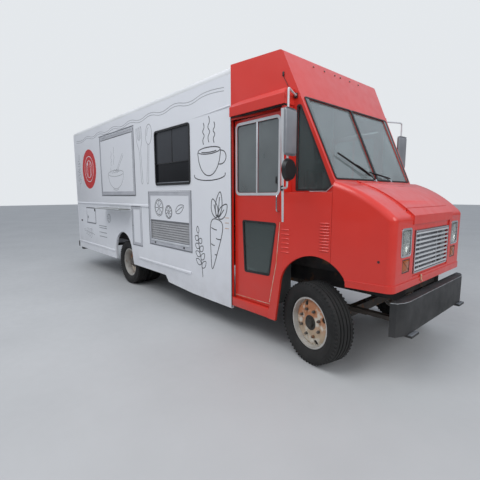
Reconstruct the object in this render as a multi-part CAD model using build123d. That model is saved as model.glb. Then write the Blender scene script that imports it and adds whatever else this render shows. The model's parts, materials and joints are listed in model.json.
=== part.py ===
from build123d import *
import math
import os

# A walk-in van turned into a food truck, in millimetres.
# While the pieces are made, X is measured forward from the front axle, Y is to the left and Z is up from the ground.
# send() moves every piece so that the middle of the whole truck is at X = 0.

# Places along the truck
FRONT_END = 830
REAR_END = -7000
FRONT_AXLE_X = -(FRONT_END + REAR_END) / 2
WHEELBASE = 4245
SEAM_X = -1160
BODY_REAR = REAR_END + 112

# Body shell
HALF_WIDTH = 1050
WALL = 40
SKIN = 30
ROOF_EDGE_Z = 3090
ROOF_RISE = 80
ROOF_EDGE_R = 62
FLOOR_Z = 1000
FLOOR_THICK = 40
SKIRT_Z = 432
GAP = 6
WALL_TOP_Z = ROOF_EDGE_Z - 60

# Windshield: its foot, its head and how far the cab narrows forward
GLASS_FOOT_X = 104
GLASS_FOOT_Z = 1805
GLASS_HEAD_X = -274
GLASS_HEAD_Z = ROOF_EDGE_Z - 448
CAB_TAPER = 0.156
BELT_Z = 1700

# Wheels
FACETS = 28
HUB_FACETS = 16
TYRE_R = 411
TYRE_W = 240
WHEEL_Z = TYRE_R * math.cos(math.pi / FACETS)
RIM_R = 260.5
RIM_W = 171
BARREL_R = RIM_R - 6.3
DISC_FLAT_R = 200
DISC_THICK = 11
HUB_BORE_R = 110
HAND_HOLES = 4
HAND_HOLE_R = 26
HAND_HOLE_CIRCLE_R = 198
KINGPIN_Y = HALF_WIDTH - 255
FRONT_TYRE_Y = KINGPIN_Y + 119
STEER_AT_REST = -13
DUAL_OUTER_Y = HALF_WIDTH - 175
DUAL_INNER_Y = DUAL_OUTER_Y - TYRE_W - 25

os.makedirs("parts", exist_ok=True)


def send(name, shape):
    moved = Pos(FRONT_AXLE_X, 0, 0) * shape
    moved.label = name
    export_step(moved, "parts/" + name + ".step")


# Makers of plain shapes
def slab(x0, x1, y0, y1, z0, z1):
    return Pos((x0 + x1) / 2, (y0 + y1) / 2, (z0 + z1) / 2) * Box(abs(x1 - x0), abs(y1 - y0), abs(z1 - z0))


def side_prism(points, y0, y1):
    # a flat outline drawn in X and Z, given depth from y0 to y1
    face = Face(Wire.make_polygon([Vector(x, y0, z) for x, z in points], close=True))
    return extrude(face, amount=abs(y1 - y0), dir=(0, 1 if y1 > y0 else -1, 0))


def side_profile(lines, y0, y1):
    # the same for an outline that has arcs
    plane = Plane(origin=(0, y0, 0), x_dir=(1, 0, 0), z_dir=(0, -1, 0))
    return extrude(plane * make_face(lines), amount=-(y1 - y0))


def plan_prism(points, z0, z1):
    # a flat outline drawn in X and Y, given height from z0 to z1
    face = Face(Wire.make_polygon([Vector(x, y, z0) for x, y in points], close=True))
    return extrude(face, amount=z1 - z0, dir=(0, 0, 1))


def front_prism(points, x0, x1):
    # a flat outline drawn in Y and Z, given length from x0 to x1
    face = Face(Wire.make_polygon([Vector(x0, y, z) for y, z in points], close=True))
    return extrude(face, amount=abs(x1 - x0), dir=(1 if x1 > x0 else -1, 0, 0))


def round_window(x0, x1, z0, z1, y0, y1, r):
    # a window-shaped block with round corners, through a side wall
    face = Pos((x0 + x1) / 2, y0, (z0 + z1) / 2) * Rot(90, 0, 0) * RectangleRounded(x1 - x0, z1 - z0, r)
    return extrude(face, amount=abs(y1 - y0), dir=(0, 1 if y1 > y0 else -1, 0))


def upright(radius, z0, z1, x, y):
    return Pos(x, y, (z0 + z1) / 2) * Cylinder(radius, z1 - z0)


def lengthwise(radius, x0, x1, y, z):
    return Pos((x0 + x1) / 2, y, z) * Rot(0, 90, 0) * Cylinder(radius, x1 - x0)


def tube(a, b, radius, sides=8):
    # a straight bar between two places, with flat facets
    start = Vector(*a)
    along = Vector(*b) - start
    return extrude(Plane(origin=start, z_dir=along) * RegularPolygon(radius, sides), amount=along.length)


def other_side(shape):
    return mirror(shape, about=Plane.XZ)


def both(shape):
    return shape + other_side(shape)


def screen_x(z):
    lean = (GLASS_HEAD_X - GLASS_FOOT_X) / (GLASS_HEAD_Z - GLASS_FOOT_Z)
    return GLASS_FOOT_X + (z - GLASS_FOOT_Z) * lean


def cab_y(x):
    return HALF_WIDTH - CAB_TAPER * (x - SEAM_X)


# Chassis frame: two channel rails and their crossmembers
RAIL_Y = DUAL_INNER_Y - TYRE_W / 2 - 60
RAIL_H = 200
RAIL_TOP = 860
RAIL_FLANGE = 70
RAIL_WEB = 10
RAIL_REAR = REAR_END + 300
RAIL_FRONT = FRONT_END - 190
CROSS_W = 80
rail = slab(RAIL_REAR, RAIL_FRONT, RAIL_Y - RAIL_WEB, RAIL_Y, RAIL_TOP - RAIL_H, RAIL_TOP)
for z0 in (RAIL_TOP - RAIL_WEB, RAIL_TOP - RAIL_H):
    rail += slab(RAIL_REAR, RAIL_FRONT, RAIL_Y - RAIL_FLANGE, RAIL_Y, z0, z0 + RAIL_WEB)
frame = both(rail)
for x in (RAIL_REAR + 100, -5400, -3500, -2500, -1500, RAIL_FRONT - 80):
    frame += slab(x - CROSS_W / 2, x + CROSS_W / 2, -RAIL_Y + 5, RAIL_Y - 5, RAIL_TOP - 150, RAIL_TOP - 40)
send("chassis_frame", frame)

# Sliding cab doors run inside the walls
DOOR_THICK = 32
DOOR_Y = HALF_WIDTH - WALL - 12
DOOR_TRAVEL = 750

# Floor of the kitchen box on its cross beams and long beams, with a pocket for each sliding door
BEAM_H = 60
BEAM_W = 60
INNER_Y = HALF_WIDTH - WALL
floor = slab(BODY_REAR + 50, SEAM_X - GAP, -INNER_Y, INNER_Y, FLOOR_Z, FLOOR_Z + FLOOR_THICK)
for x in (-6500, -5900, -5200, -4700, -3400, -2800, -2200, -1500):
    floor += slab(x - BEAM_W / 2, x + BEAM_W / 2, -INNER_Y, INNER_Y, FLOOR_Z - BEAM_H, FLOOR_Z)
floor += both(slab(BODY_REAR + 200, SEAM_X - 100, RAIL_Y - 70, RAIL_Y, RAIL_TOP, FLOOR_Z))
floor -= both(slab(SEAM_X - DOOR_TRAVEL, SEAM_X + 5, DOOR_Y - 48, HALF_WIDTH, FLOOR_Z - 100, FLOOR_Z + 60))
send("body_floor", floor)

# Side walls: the skirt steps up towards the rear and has a round arch over the wheels
STEPS = ((SEAM_X, 290), (-2010, 297), (-2664, 334), (-2747, SKIRT_Z))
ARCH_X = -4300
ARCH_Z = 620
ARCH_R = 365
ARCH_FOOT_X = -3880
ARCH_TURN = 96


def side_wall():
    top = [(BODY_REAR + 50, SKIRT_Z), (BODY_REAR + 50, WALL_TOP_Z), (SEAM_X, WALL_TOP_Z)]
    wall = side_prism(top + list(STEPS), -HALF_WIDTH, -HALF_WIDTH + WALL)
    low = SKIRT_Z - 10
    rear_x = ARCH_X - ARCH_R
    front = (ARCH_X + math.sqrt(ARCH_R ** 2 - ARCH_TURN ** 2), ARCH_Z + ARCH_TURN)
    arch = [
        Line((rear_x, low), (rear_x, ARCH_Z)),
        ThreePointArc((rear_x, ARCH_Z), (ARCH_X, ARCH_Z + ARCH_R), front),
        Line(front, (ARCH_FOOT_X, low)),
        Line((ARCH_FOOT_X, low), (rear_x, low)),
    ]
    return wall - side_profile(arch, -HALF_WIDTH - 5, -HALF_WIDTH + WALL + 5)


# Openings of the serving side: rear edge, front edge, bottom, top
HATCH = (-5245, -3702, 1668, ROOF_EDGE_Z - 300)
WINDOW = (-2970, -2005, 1818, 2630)
VENT = (-3225, -2005, 884, 1723)
LOCKER = (-3872, -3515, 800, 1480)
PORT = (-6270, -5710, 1055, 1395)
WINDOW_R = 45
HINGE_OUT = 4
HINGE_R = 5
HINGE_Y = -HALF_WIDTH - HINGE_OUT


def opening(spot):
    x0, x1, z0, z1 = spot
    return slab(x0, x1, -HALF_WIDTH - 5, -HALF_WIDTH + WALL + 5, z0, z1)


def rub_rail(x0, x1, z, height=46, out=14):
    wide = height / 2
    narrow = height / 4
    section = ((-wide, 0), (-narrow, out), (narrow, out), (wide, 0))
    return front_prism([(-HALF_WIDTH - depth, z + up) for up, depth in section], x0, x1)


RUB_MID_Z = 1494
RUB_LOW_Z = 582
REAR_RUB = (BODY_REAR + 60, -4710, RUB_LOW_Z)
right = side_wall()
for spot in (HATCH, VENT, LOCKER, PORT):
    right -= opening(spot)
right -= round_window(*WINDOW, -HALF_WIDTH - 5, -HALF_WIDTH + WALL + 5, WINDOW_R)
for x0, x1, z in (REAR_RUB, (BODY_REAR + 60, VENT[0] - 7, RUB_MID_Z), (-3640, STEPS[1][0] - 20, RUB_LOW_Z)):
    right += rub_rail(x0, x1, z)
right -= slab(LOCKER[0] - 5, LOCKER[1] + 5, -HALF_WIDTH - 30, -HALF_WIDTH, LOCKER[2], LOCKER[3] + 5)
# hinge rods of the two doors that lift and the two that swing
for spot in (HATCH, VENT):
    right += tube((spot[0] + 10, HINGE_Y, spot[3]), (spot[1] - 10, HINGE_Y, spot[3]), HINGE_R)
right += tube((LOCKER[1], HINGE_Y, LOCKER[2] + 10), (LOCKER[1], HINGE_Y, LOCKER[3] - 10), HINGE_R)
right += tube((PORT[0], HINGE_Y, PORT[2] + 10), (PORT[0], HINGE_Y, PORT[3] - 10), HINGE_R)
# blocks that carry the shelf
SHELF_Z = 1430
SHELF_PLATE = 12
for x in (-4950, -4470, -3990):
    right += slab(x - 30, x + 30, -HALF_WIDTH - 20, -HALF_WIDTH, SHELF_Z - 26, SHELF_Z + 10)
send("side_wall_right", right)

left = other_side(side_wall())
for x0, x1, z in (REAR_RUB, (BODY_REAR + 60, SEAM_X - 60, RUB_MID_Z), (-3640, SEAM_X - 60, RUB_LOW_Z)):
    left += other_side(rub_rail(x0, x1, z))
send("side_wall_left", left)


def leaf(spot, thick):
    # a flat door that fills an opening with play all round, its outer face flush with the wall
    x0, x1, z0, z1 = spot
    return slab(x0 + GAP, x1 - GAP, -HALF_WIDTH, -HALF_WIDTH + thick, z0 + GAP, z1 - GAP)


LEAF = 32
send("serving_hatch", leaf(HATCH, LEAF))
send("locker_door", leaf(LOCKER, LEAF))
send("power_port_door", leaf(PORT, LEAF))

# Tinted sliding side window: a frame that holds one dark pane
FRAME_W = 28
pane = (WINDOW[0] + FRAME_W, WINDOW[1] - FRAME_W, WINDOW[2] + FRAME_W, WINDOW[3] - FRAME_W)
window = round_window(*WINDOW, -HALF_WIDTH - 8, -HALF_WIDTH + WALL, WINDOW_R)
window -= round_window(*pane, -HALF_WIDTH - 20, -HALF_WIDTH + 14, WINDOW_R - 22)
window -= round_window(*pane, -HALF_WIDTH + 22, -HALF_WIDTH + 60, WINDOW_R - 22)
send("side_window", window)

# Generator door with its louvre
LOUVRE = (VENT[0] + 60, VENT[1] - 60, 985, 1275)
SLATS = 8
vent = leaf(VENT, LEAF)
vent -= slab(LOUVRE[0], LOUVRE[1], -HALF_WIDTH - 5, -HALF_WIDTH + LEAF + 5, LOUVRE[2], LOUVRE[3])
pitch = (LOUVRE[3] - LOUVRE[2]) / SLATS
for i in range(SLATS):
    z = LOUVRE[2] + (i + 0.5) * pitch
    section = ((3, z - 20), (7, z - 20), (28, z + 14), (24, z + 14))
    vent += front_prism([(-HALF_WIDTH + depth, up) for depth, up in section], LOUVRE[0] - 5, LOUVRE[1] + 5)
send("generator_door", vent)

# Fold-down serving shelf with its stiffening ribs
SHELF_X0 = -5060
SHELF_X1 = -3885
SHELF_OUT = 215
SHELF_LIP = 20
shelf_y = -HALF_WIDTH - 26
shelf = slab(SHELF_X0, SHELF_X1, shelf_y - SHELF_OUT, shelf_y, SHELF_Z - SHELF_PLATE, SHELF_Z)
shelf += slab(SHELF_X0, SHELF_X1, shelf_y - SHELF_OUT, shelf_y - SHELF_OUT + 4, SHELF_Z - SHELF_LIP, SHELF_Z)
for x in (SHELF_X0 + 2, -4700, -4240, SHELF_X1 - 2):
    shelf += slab(x - 2, x + 2, shelf_y - SHELF_OUT, shelf_y - 30, SHELF_Z - SHELF_LIP, SHELF_Z)
send("serving_shelf", shelf)

# Rear wall: a frame round two rear doors, with two holes for a number plate
REAR_DOOR_HALF = HALF_WIDTH - 290
REAR_DOOR_Z0 = 640
REAR_DOOR_Z1 = ROOF_EDGE_Z - 210
REAR_THICK = 50
PLATE_SPACING = 178
PLATE_HOLE_R = 3.5
PLATE_Z = 605
rear = slab(BODY_REAR, BODY_REAR + REAR_THICK, -HALF_WIDTH, HALF_WIDTH, SKIRT_Z, WALL_TOP_Z)
rear -= slab(BODY_REAR - 5, BODY_REAR + 55, -REAR_DOOR_HALF, REAR_DOOR_HALF, REAR_DOOR_Z0, REAR_DOOR_Z1)
for y in (-PLATE_SPACING / 2, PLATE_SPACING / 2):
    rear -= lengthwise(PLATE_HOLE_R, BODY_REAR - 5, BODY_REAR + REAR_THICK + 5, y, PLATE_Z)
for y in (-REAR_DOOR_HALF, REAR_DOOR_HALF):
    hinge_x = BODY_REAR - HINGE_OUT
    rear += tube((hinge_x, y, REAR_DOOR_Z0 + 40), (hinge_x, y, REAR_DOOR_Z1 - 40), HINGE_R)
send("rear_wall", rear)
REAR_GLASS = (-REAR_DOOR_HALF + 170, -170, ROOF_EDGE_Z - 1140, ROOF_EDGE_Z - 640)
y0, y1, z0, z1 = REAR_GLASS
door = slab(BODY_REAR, BODY_REAR + 38, -REAR_DOOR_HALF + GAP, -GAP / 2, REAR_DOOR_Z0 + GAP, REAR_DOOR_Z1 - GAP)
door -= slab(BODY_REAR - 5, BODY_REAR + 50, y0, y1, z0, z1)
door += slab(BODY_REAR + 14, BODY_REAR + 22, y0 - 5, y1 + 5, z0 - 5, z1 + 5)
send("rear_door_right", door)
send("rear_door_left", other_side(door))


# Roof of the box: a crowned shell with round side edges
def roof_block(x0, x1, inset):
    edge = HALF_WIDTH - inset
    top = ROOF_EDGE_Z - inset
    r = ROOF_EDGE_R - inset * 0.6
    foot = top - r + 20
    knee_y = edge - r - 30
    knee_z = top + 22
    section = [
        Line((-edge, WALL_TOP_Z), (-edge, foot)),
        ThreePointArc((-edge, foot), (-edge + r * 0.35, top + 8), (-knee_y, knee_z)),
        ThreePointArc((-knee_y, knee_z), (0, top + ROOF_RISE), (knee_y, knee_z)),
        ThreePointArc((knee_y, knee_z), (edge - r * 0.35, top + 8), (edge, foot)),
        Line((edge, foot), (edge, WALL_TOP_Z)),
        Line((edge, WALL_TOP_Z), (-edge, WALL_TOP_Z)),
    ]
    plane = Plane(origin=(x0, 0, 0), x_dir=(0, 1, 0), z_dir=(1, 0, 0))
    return extrude(plane * make_face(section), amount=x1 - x0)


send("box_roof", roof_block(BODY_REAR, SEAM_X, 0) - roof_block(BODY_REAR + REAR_THICK, SEAM_X + 5, WALL))


# Cab shell above the belt: a wedge in plan whose front leans back with the windshield
def cab_wedge(inset, z0, z1):
    rear_x = SEAM_X - (5 if inset > 0 else 0)
    outlines = []
    for z in (z0, z1):
        front_x = screen_x(z)
        rear_y = cab_y(rear_x) - inset
        front_y = cab_y(front_x) - inset
        corners = ((rear_x, -rear_y), (front_x - inset, -front_y), (front_x - inset, front_y), (rear_x, rear_y))
        outlines.append(Wire.make_polygon([Vector(x, y, z) for x, y in corners], close=True))
    return Solid.make_loft(outlines, ruled=True)


DOOR_X0 = SEAM_X + 10
DOOR_X1 = -400
DOOR_Z0 = 420
DOOR_Z1 = GLASS_HEAD_Z - 132
POST_X = DOOR_X1 + 50
SCREEN_HALF = HALF_WIDTH - 250
QUARTER_X = -300
SIDE_IN_Y = HALF_WIDTH - 250
BROW_R = 45
cab = cab_wedge(0, BELT_Z, ROOF_EDGE_Z + 30)
cab = cab.fillet(BROW_R, cab.edges().group_by(Axis.Z)[-1].sort_by(Axis.X)[-1:])
cab -= cab_wedge(SKIN, BELT_Z - 5, ROOF_EDGE_Z)
cab -= slab(-330, 400, -SCREEN_HALF, SCREEN_HALF, GLASS_FOOT_Z + 25, GLASS_HEAD_Z - 20)


def quarter_block(play):
    # the four-cornered side pane beside the windshield post
    low = BELT_Z + 20 + play
    high = GLASS_HEAD_Z - 97 - play
    outline = (
        (QUARTER_X + play, low),
        (20 - play, low),
        (screen_x(BELT_Z + 62) - 53 - 2 * play, BELT_Z + 62),
        (screen_x(high) - 32 - play, high),
        (QUARTER_X + play, high),
    )
    return side_prism(outline, -HALF_WIDTH - 50, -SIDE_IN_Y)


cab -= both(quarter_block(0))
cab -= both(slab(SEAM_X - 10, DOOR_X1 + 10, -HALF_WIDTH - 50, -SIDE_IN_Y - 50, BELT_Z - 10, DOOR_Z1 + 10))

# Windshield: two flat panes with a strip between them, and the quarter panes
PANE = 7
PANE_IN = 11
STRIP_HALF = 11


def leaning(depth0, depth1, z0, z1, y0, y1):
    # a sheet parallel to the windshield, between two depths behind its outer face
    low = screen_x(z0)
    high = screen_x(z1)
    return side_prism(((low - depth1, z0), (low - depth0, z0), (high - depth0, z1), (high - depth1, z1)), y0, y1)


cab += leaning(4, 24, GLASS_FOOT_Z + 20, GLASS_HEAD_Z - 15, -STRIP_HALF, STRIP_HALF)
panes = leaning(PANE_IN, PANE_IN + PANE, GLASS_FOOT_Z + 27, GLASS_HEAD_Z - 22, -SCREEN_HALF + 2, -STRIP_HALF - 1)
skin_band = cab_wedge(12, BELT_Z, GLASS_HEAD_Z + 60) - cab_wedge(18, BELT_Z - 1, GLASS_HEAD_Z + 70)
send("cab_glass", both(panes) + both(quarter_block(3) & skin_band))

# Posts between the quarter panes and the doors, and a drip moulding over each door
post = slab(DOOR_X1 + 10, POST_X - 5, -HALF_WIDTH, -cab_y(POST_X) + 4, BELT_Z, DOOR_Z1 + 60)
DRIP_OUT = 26
DRIP_Z = DOOR_Z1 + 42
DRIP_H = 153
drip_section = ((-DRIP_OUT, 0), (150, 0), (150, DRIP_H), (20, DRIP_H), (-DRIP_OUT, DRIP_H - 55))
drip = front_prism([(-HALF_WIDTH + inward, DRIP_Z + up) for inward, up in drip_section], SEAM_X + 3, QUARTER_X - 40)
keep_y = -HALF_WIDTH - 150
keep = [(SEAM_X, keep_y), (QUARTER_X, keep_y), (QUARTER_X, -cab_y(QUARTER_X)), (SEAM_X, -cab_y(SEAM_X))]
drip &= plan_prism(keep, DRIP_Z - 50, DRIP_Z + 250)
send("cab_shell", cab + both(post) + both(drip))

# Cab sides below the belt: flat to the post, then drawn in towards the nose, with the front wheel arch
COWL_X = 290
COWL_Y = HALF_WIDTH - 120
COWL_SEAM_X = 150


def cowl_y(x):
    return HALF_WIDTH - (x - POST_X) * (HALF_WIDTH - COWL_Y) / (COWL_X - POST_X)


def front_arch(y0, y1):
    outline = [
        Line((-455, 300), (-392, 720)),
        ThreePointArc((-392, 720), (-290, 965), (-30, 1085)),
        ThreePointArc((-30, 1085), (170, 1025), (300, 880)),
        Line((300, 880), (330, 300)),
        Line((330, 300), (-455, 300)),
    ]
    return side_profile(outline, y0, y1)


seam_y = cowl_y(COWL_SEAM_X)
outer_line = [(DOOR_X1 + 10, -HALF_WIDTH), (POST_X, -HALF_WIDTH), (COWL_SEAM_X, -seam_y)]
inner_line = [(COWL_SEAM_X, -seam_y + SKIN), (POST_X, -HALF_WIDTH + SKIN), (DOOR_X1 + 10, -HALF_WIDTH + SKIN)]
ledge_line = [(COWL_SEAM_X, -cab_y(COWL_SEAM_X) + SKIN), (DOOR_X1 + 10, -cab_y(POST_X) + SKIN)]
side = plan_prism(outer_line + inner_line, 330, BELT_Z - 2)
side += plan_prism(outer_line + ledge_line, BELT_Z - 12, BELT_Z - 2)
foot = ((-560, 330), (-380, 330), (-380, BELT_Z - 2), (-395, 1400), (-440, 950), (-545, 420), (-560, 420))
side += side_prism(foot, -HALF_WIDTH, -HALF_WIDTH + SKIN)
side -= front_arch(-HALF_WIDTH - 150, -HALF_WIDTH + 350)
send("cab_sides", both(side))

# Sliding cab doors: a leaf with an upper window in a raised rim and a lower window
UPPER = (DOOR_X0 + 16, DOOR_X1 - 40, 1668, DOOR_Z1 - 30)
UPPER_R = 60
RIM_WIDE = 30
SIGHT = (UPPER[0] + RIM_WIDE, UPPER[1] - RIM_WIDE, UPPER[2] + RIM_WIDE, UPPER[3] - RIM_WIDE)
SIGHT_R = 36
BAR_X = -785
BAR_HALF = 10
LOWER = ((-1010, 1375), (-500, 1368), (-590, 800), (-975, 785))
LOWER_GLASS = ((-1009.5, 1374.5), (-500.6, 1367.5), (-590.4, 800.5), (-974.5, 785.5))
GLASS_IN = 9
GLASS_THICK = 5
door_outline = (
    (DOOR_X0, DOOR_Z0),
    (DOOR_X1 - 150, DOOR_Z0),
    (DOOR_X1 - 40, 950),
    (DOOR_X1, 1400),
    (DOOR_X1, DOOR_Z1),
    (DOOR_X0, DOOR_Z1),
)
door = side_prism(door_outline, -DOOR_Y, -DOOR_Y + DOOR_THICK)
door -= round_window(*UPPER, -DOOR_Y - 5, -DOOR_Y + 40, UPPER_R)
door -= side_prism(LOWER, -DOOR_Y - 5, -DOOR_Y + 40)
rim = round_window(*UPPER, -DOOR_Y - 3, -DOOR_Y + DOOR_THICK, UPPER_R)
rim -= round_window(*SIGHT, -DOOR_Y - 20, -DOOR_Y + 60, SIGHT_R)
rim += slab(BAR_X - BAR_HALF, BAR_X + BAR_HALF, -DOOR_Y + 2, -DOOR_Y + 20, SIGHT[2] - 8, SIGHT[3] + 8)
send("cab_door_right", door + rim)
send("cab_door_left", other_side(door + rim))
glass_y = (-DOOR_Y + GLASS_IN, -DOOR_Y + GLASS_IN + GLASS_THICK)
glass = slab(SIGHT[0], BAR_X - BAR_HALF - 1, *glass_y, SIGHT[2], SIGHT[3])
glass += slab(BAR_X + BAR_HALF + 1, SIGHT[1], *glass_y, SIGHT[2], SIGHT[3])
glass &= round_window(SIGHT[0] + 0.5, SIGHT[1] - 0.5, SIGHT[2] + 0.5, SIGHT[3] - 0.5, -DOOR_Y, -DOOR_Y + 30, SIGHT_R)
glass += side_prism(LOWER_GLASS, *glass_y)
send("door_glass_right", glass)
send("door_glass_left", other_side(glass))

# Nose: fenders and front panel in one shell, with a raised middle that holds the hood
NOSE_X = 700
NOSE_LOW_Z = 835
NOSE_FRONT_Y = HALF_WIDTH - 188
NOSE_SKIN = 30
SHOULDER_R = 66
CORNER_R = 72
COWL_TOP_Z = 1826
BROW_Z = 1478
BAND_Z = 900
BAND_OUT = 8
RAISE = 14
RAISE_OUT = 9
HOOD_REAR_X = 196
HOOD_FRONT_X = 640
HOOD_REAR_Y = 560
HOOD_FRONT_Y = 505
HOOD_FLANGE = 20


def nose_slice(x1, lift, low):
    # side view of the nose: an arched top over an upright front
    outline = [
        ThreePointArc((60, COWL_TOP_Z + lift), (345, COWL_TOP_Z - 100 + lift), (x1 - 6, BROW_Z + lift)),
        Line((x1 - 6, BROW_Z + lift), (x1 + 40, BROW_Z - 40 + lift)),
        Line((x1 + 40, BROW_Z - 40 + lift), (x1 + 40, low)),
        Line((x1 + 40, low), (60, low)),
        Line((60, low), (60, COWL_TOP_Z + lift)),
    ]
    return side_profile(outline, -HALF_WIDTH - 150, HALF_WIDTH + 150)


def nose_plan(inset, low, high):
    # the plan of the nose with round front corners
    x0 = COWL_SEAM_X + 3 - (10 if inset > 0 else 0)
    x1 = NOSE_X - inset
    y0 = seam_y - inset
    y1 = NOSE_FRONT_Y - inset
    block = plan_prism([(x0, -y0), (x1, -y1), (x1, y1), (x0, y0)], low, high)
    corners = [e for e in block.edges().filter_by(Axis.Z) if e.center().X > x1 - 5]
    return block.fillet(CORNER_R - inset * 0.9, corners)


outer = nose_plan(0, NOSE_LOW_Z, 1900) & nose_slice(NOSE_X, 0, NOSE_LOW_Z - 10)
shoulders = [e for e in outer.edges() if e.bounding_box().min.Z > BROW_Z - 98 and e.center().X > COWL_SEAM_X + 23]
outer = outer.fillet(SHOULDER_R, shoulders)
outer += nose_plan(-BAND_OUT, NOSE_LOW_Z, BAND_Z)
raised_front = NOSE_X + RAISE_OUT
raised_plan = [
    (HOOD_REAR_X - 30, -HOOD_REAR_Y),
    (raised_front, -HOOD_FRONT_Y),
    (raised_front, HOOD_FRONT_Y),
    (HOOD_REAR_X - 30, HOOD_REAR_Y),
]
outer += plan_prism(raised_plan, BROW_Z - 70, 1900) & nose_slice(NOSE_X + 12, RAISE, 1300)
hollow = nose_plan(NOSE_SKIN, NOSE_LOW_Z - 5, 1900) & nose_slice(NOSE_X - NOSE_SKIN, -NOSE_SKIN, NOSE_LOW_Z - 15)
nose = outer - hollow - front_arch(-HALF_WIDTH - 150, HALF_WIDTH + 150)

# openings in the front: width and height of the grille, the headlamps and the turn lamps
GRILLE = (-437, 437, 948, 1350)
LAMP = (525, 728, 1132, 1382)
TURN = (535, 690, 985, 1108)
nose -= slab(NOSE_X - 12, NOSE_X + 100, GRILLE[0] - 25, GRILLE[1] + 25, GRILLE[2] - 23, GRILLE[3] + 58)
nose -= slab(600, 800, *GRILLE)
nose -= both(slab(600, 800, *LAMP))
nose -= both(slab(600, 800, *TURN))


def hood_zone(play):
    x0 = HOOD_REAR_X + play
    x1 = HOOD_FRONT_X - play
    y0 = HOOD_REAR_Y + HOOD_FLANGE - play
    y1 = HOOD_FRONT_Y + HOOD_FLANGE - play
    return plan_prism([(x0, -y0), (x1, -y1), (x1, y1), (x0, y0)], 1400, 1900)


send("hood", nose & hood_zone(GAP))
send("nose", nose - hood_zone(0))

# Firewall between engine bay and cab, narrow between the wheel houses and open for the engine
COVER_HALF = RAIL_Y - 80
COVER_TOP = 1330
HOUSE_Y = HALF_WIDTH - 425
HOUSE_Z = 1095
firewall = slab(60, 80, -HALF_WIDTH + 250, HALF_WIDTH - 250, HOUSE_Z + 20, BELT_Z - 6)
firewall += slab(60, 80, -HOUSE_Y + 5, HOUSE_Y - 5, 880, HOUSE_Z + 20)
firewall -= slab(50, 90, -COVER_HALF, COVER_HALF, 870, COVER_TOP)
send("firewall", firewall)

# Grille: a frame with slats and two uprights behind them
GRILLE_SLATS = 8
grille = slab(672, NOSE_X, GRILLE[0] + 2, GRILLE[1] - 2, GRILLE[2] + 2, GRILLE[3] - 2)
grille -= slab(660, NOSE_X + 10, GRILLE[0] + 16, GRILLE[1] - 16, GRILLE[2] + 14, GRILLE[3] - 14)
for i in range(GRILLE_SLATS):
    z = GRILLE[2] + 24 + i * (GRILLE[3] - GRILLE[2] - 48) / (GRILLE_SLATS - 1)
    grille += slab(676, NOSE_X + 4, GRILLE[0] + 10, GRILLE[1] - 10, z - 9, z + 9)
for y in (-290, 290):
    grille += slab(670, 680, y - 12, y + 12, GRILLE[2] + 6, GRILLE[3] - 6)
send("grille", grille)
head = slab(640, NOSE_X - 3, LAMP[0] + 2, LAMP[1] - 2, LAMP[2] + 2, LAMP[3] - 2)
turn = slab(650, NOSE_X - 5, TURN[0] + 2, TURN[1] - 2, TURN[2] + 2, TURN[3] - 2)
send("front_lamps", both(head) + both(turn))

# Radiator behind the grille, and the engine with its gearbox as one plain block
send("radiator", slab(560, 640, -400, 400, 900, 1380))
ENGINE_HALF = COVER_HALF - 20
ENGINE_REAR = -480
ENGINE_TOP = COVER_TOP - 30
engine = slab(ENGINE_REAR, 480, -ENGINE_HALF, ENGINE_HALF, 700, ENGINE_TOP)
send("engine", engine + slab(-1000, ENGINE_REAR, -ENGINE_HALF + 190, ENGINE_HALF - 190, 520, RAIL_TOP))

# Front bumper: a channel with swept ends and two step plates with a tow hole each
BUMPER_X = FRONT_END - 42
BUMPER_Z0 = 460
BUMPER_Z1 = 760
TOW_HOLE_R = 11
TOW_X = FRONT_END - 23
TOW_Y = 640
swept = ((NOSE_X - 10, NOSE_FRONT_Y), (740, NOSE_FRONT_Y - 20), (BUMPER_X - 13, 770), (BUMPER_X, 700))
swept_in = ((NOSE_X - 20, NOSE_FRONT_Y - 30), (728, NOSE_FRONT_Y - 42), (BUMPER_X - 38, 752), (BUMPER_X - 12, 695))


def bow(half_plan):
    return [(x, -y) for x, y in half_plan] + [(x, y) for x, y in reversed(half_plan)]


bumper = plan_prism(bow(swept), BUMPER_Z0, BUMPER_Z1) - plan_prism(bow(swept_in), BUMPER_Z0 + 12, BUMPER_Z1 - 12)
bumper += both(slab(RAIL_FRONT, BUMPER_X - 8, RAIL_Y - 60, RAIL_Y - 20, 560, 700))
bumper += both(slab(740, FRONT_END, TOW_Y - 80, TOW_Y + 80, BUMPER_Z0 - 16, BUMPER_Z0 + 4))
bumper -= both(upright(TOW_HOLE_R, BUMPER_Z0 - 30, BUMPER_Z0 + 20, TOW_X, TOW_Y))
send("front_bumper", bumper)

# Rear bumper: a square bar on two brackets
BAR_Z0 = 350
BAR_Z1 = 450
rear_bumper = slab(REAR_END, BODY_REAR - GAP, -HALF_WIDTH + 70, HALF_WIDTH - 70, BAR_Z0, BAR_Z1)
rear_bumper += both(slab(REAR_END + 20, RAIL_REAR + 80, RAIL_Y - 50, RAIL_Y - 2, BAR_Z0 + 20, BAR_Z1 - 30))
rear_bumper += both(slab(RAIL_REAR - 80, RAIL_REAR + 80, RAIL_Y - 50, RAIL_Y - 2, BAR_Z0 + 20, RAIL_TOP - RAIL_H))
send("rear_bumper", rear_bumper)


# Wheels are made round the origin with flat facets, their axis along Y and their outer face towards -Y
def facet_ring(radius, y, count):
    spots = [2 * math.pi * (k + 0.5) / count for k in range(count)]
    return Wire.make_polygon([Vector(radius * math.cos(a), y, radius * math.sin(a)) for a in spots], close=True)


def turned(profile, count=FACETS):
    # a body turned round the Y axis from places along Y and their radii
    return Solid.make_loft([facet_ring(r, y, count) for y, r in profile], ruled=True)


def drum(radius, y0, y1, count=FACETS):
    return turned(((y0, radius), (y1, radius)), count)


def hub(radius, y0, y1):
    return drum(radius, y0, y1, HUB_FACETS)


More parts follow.
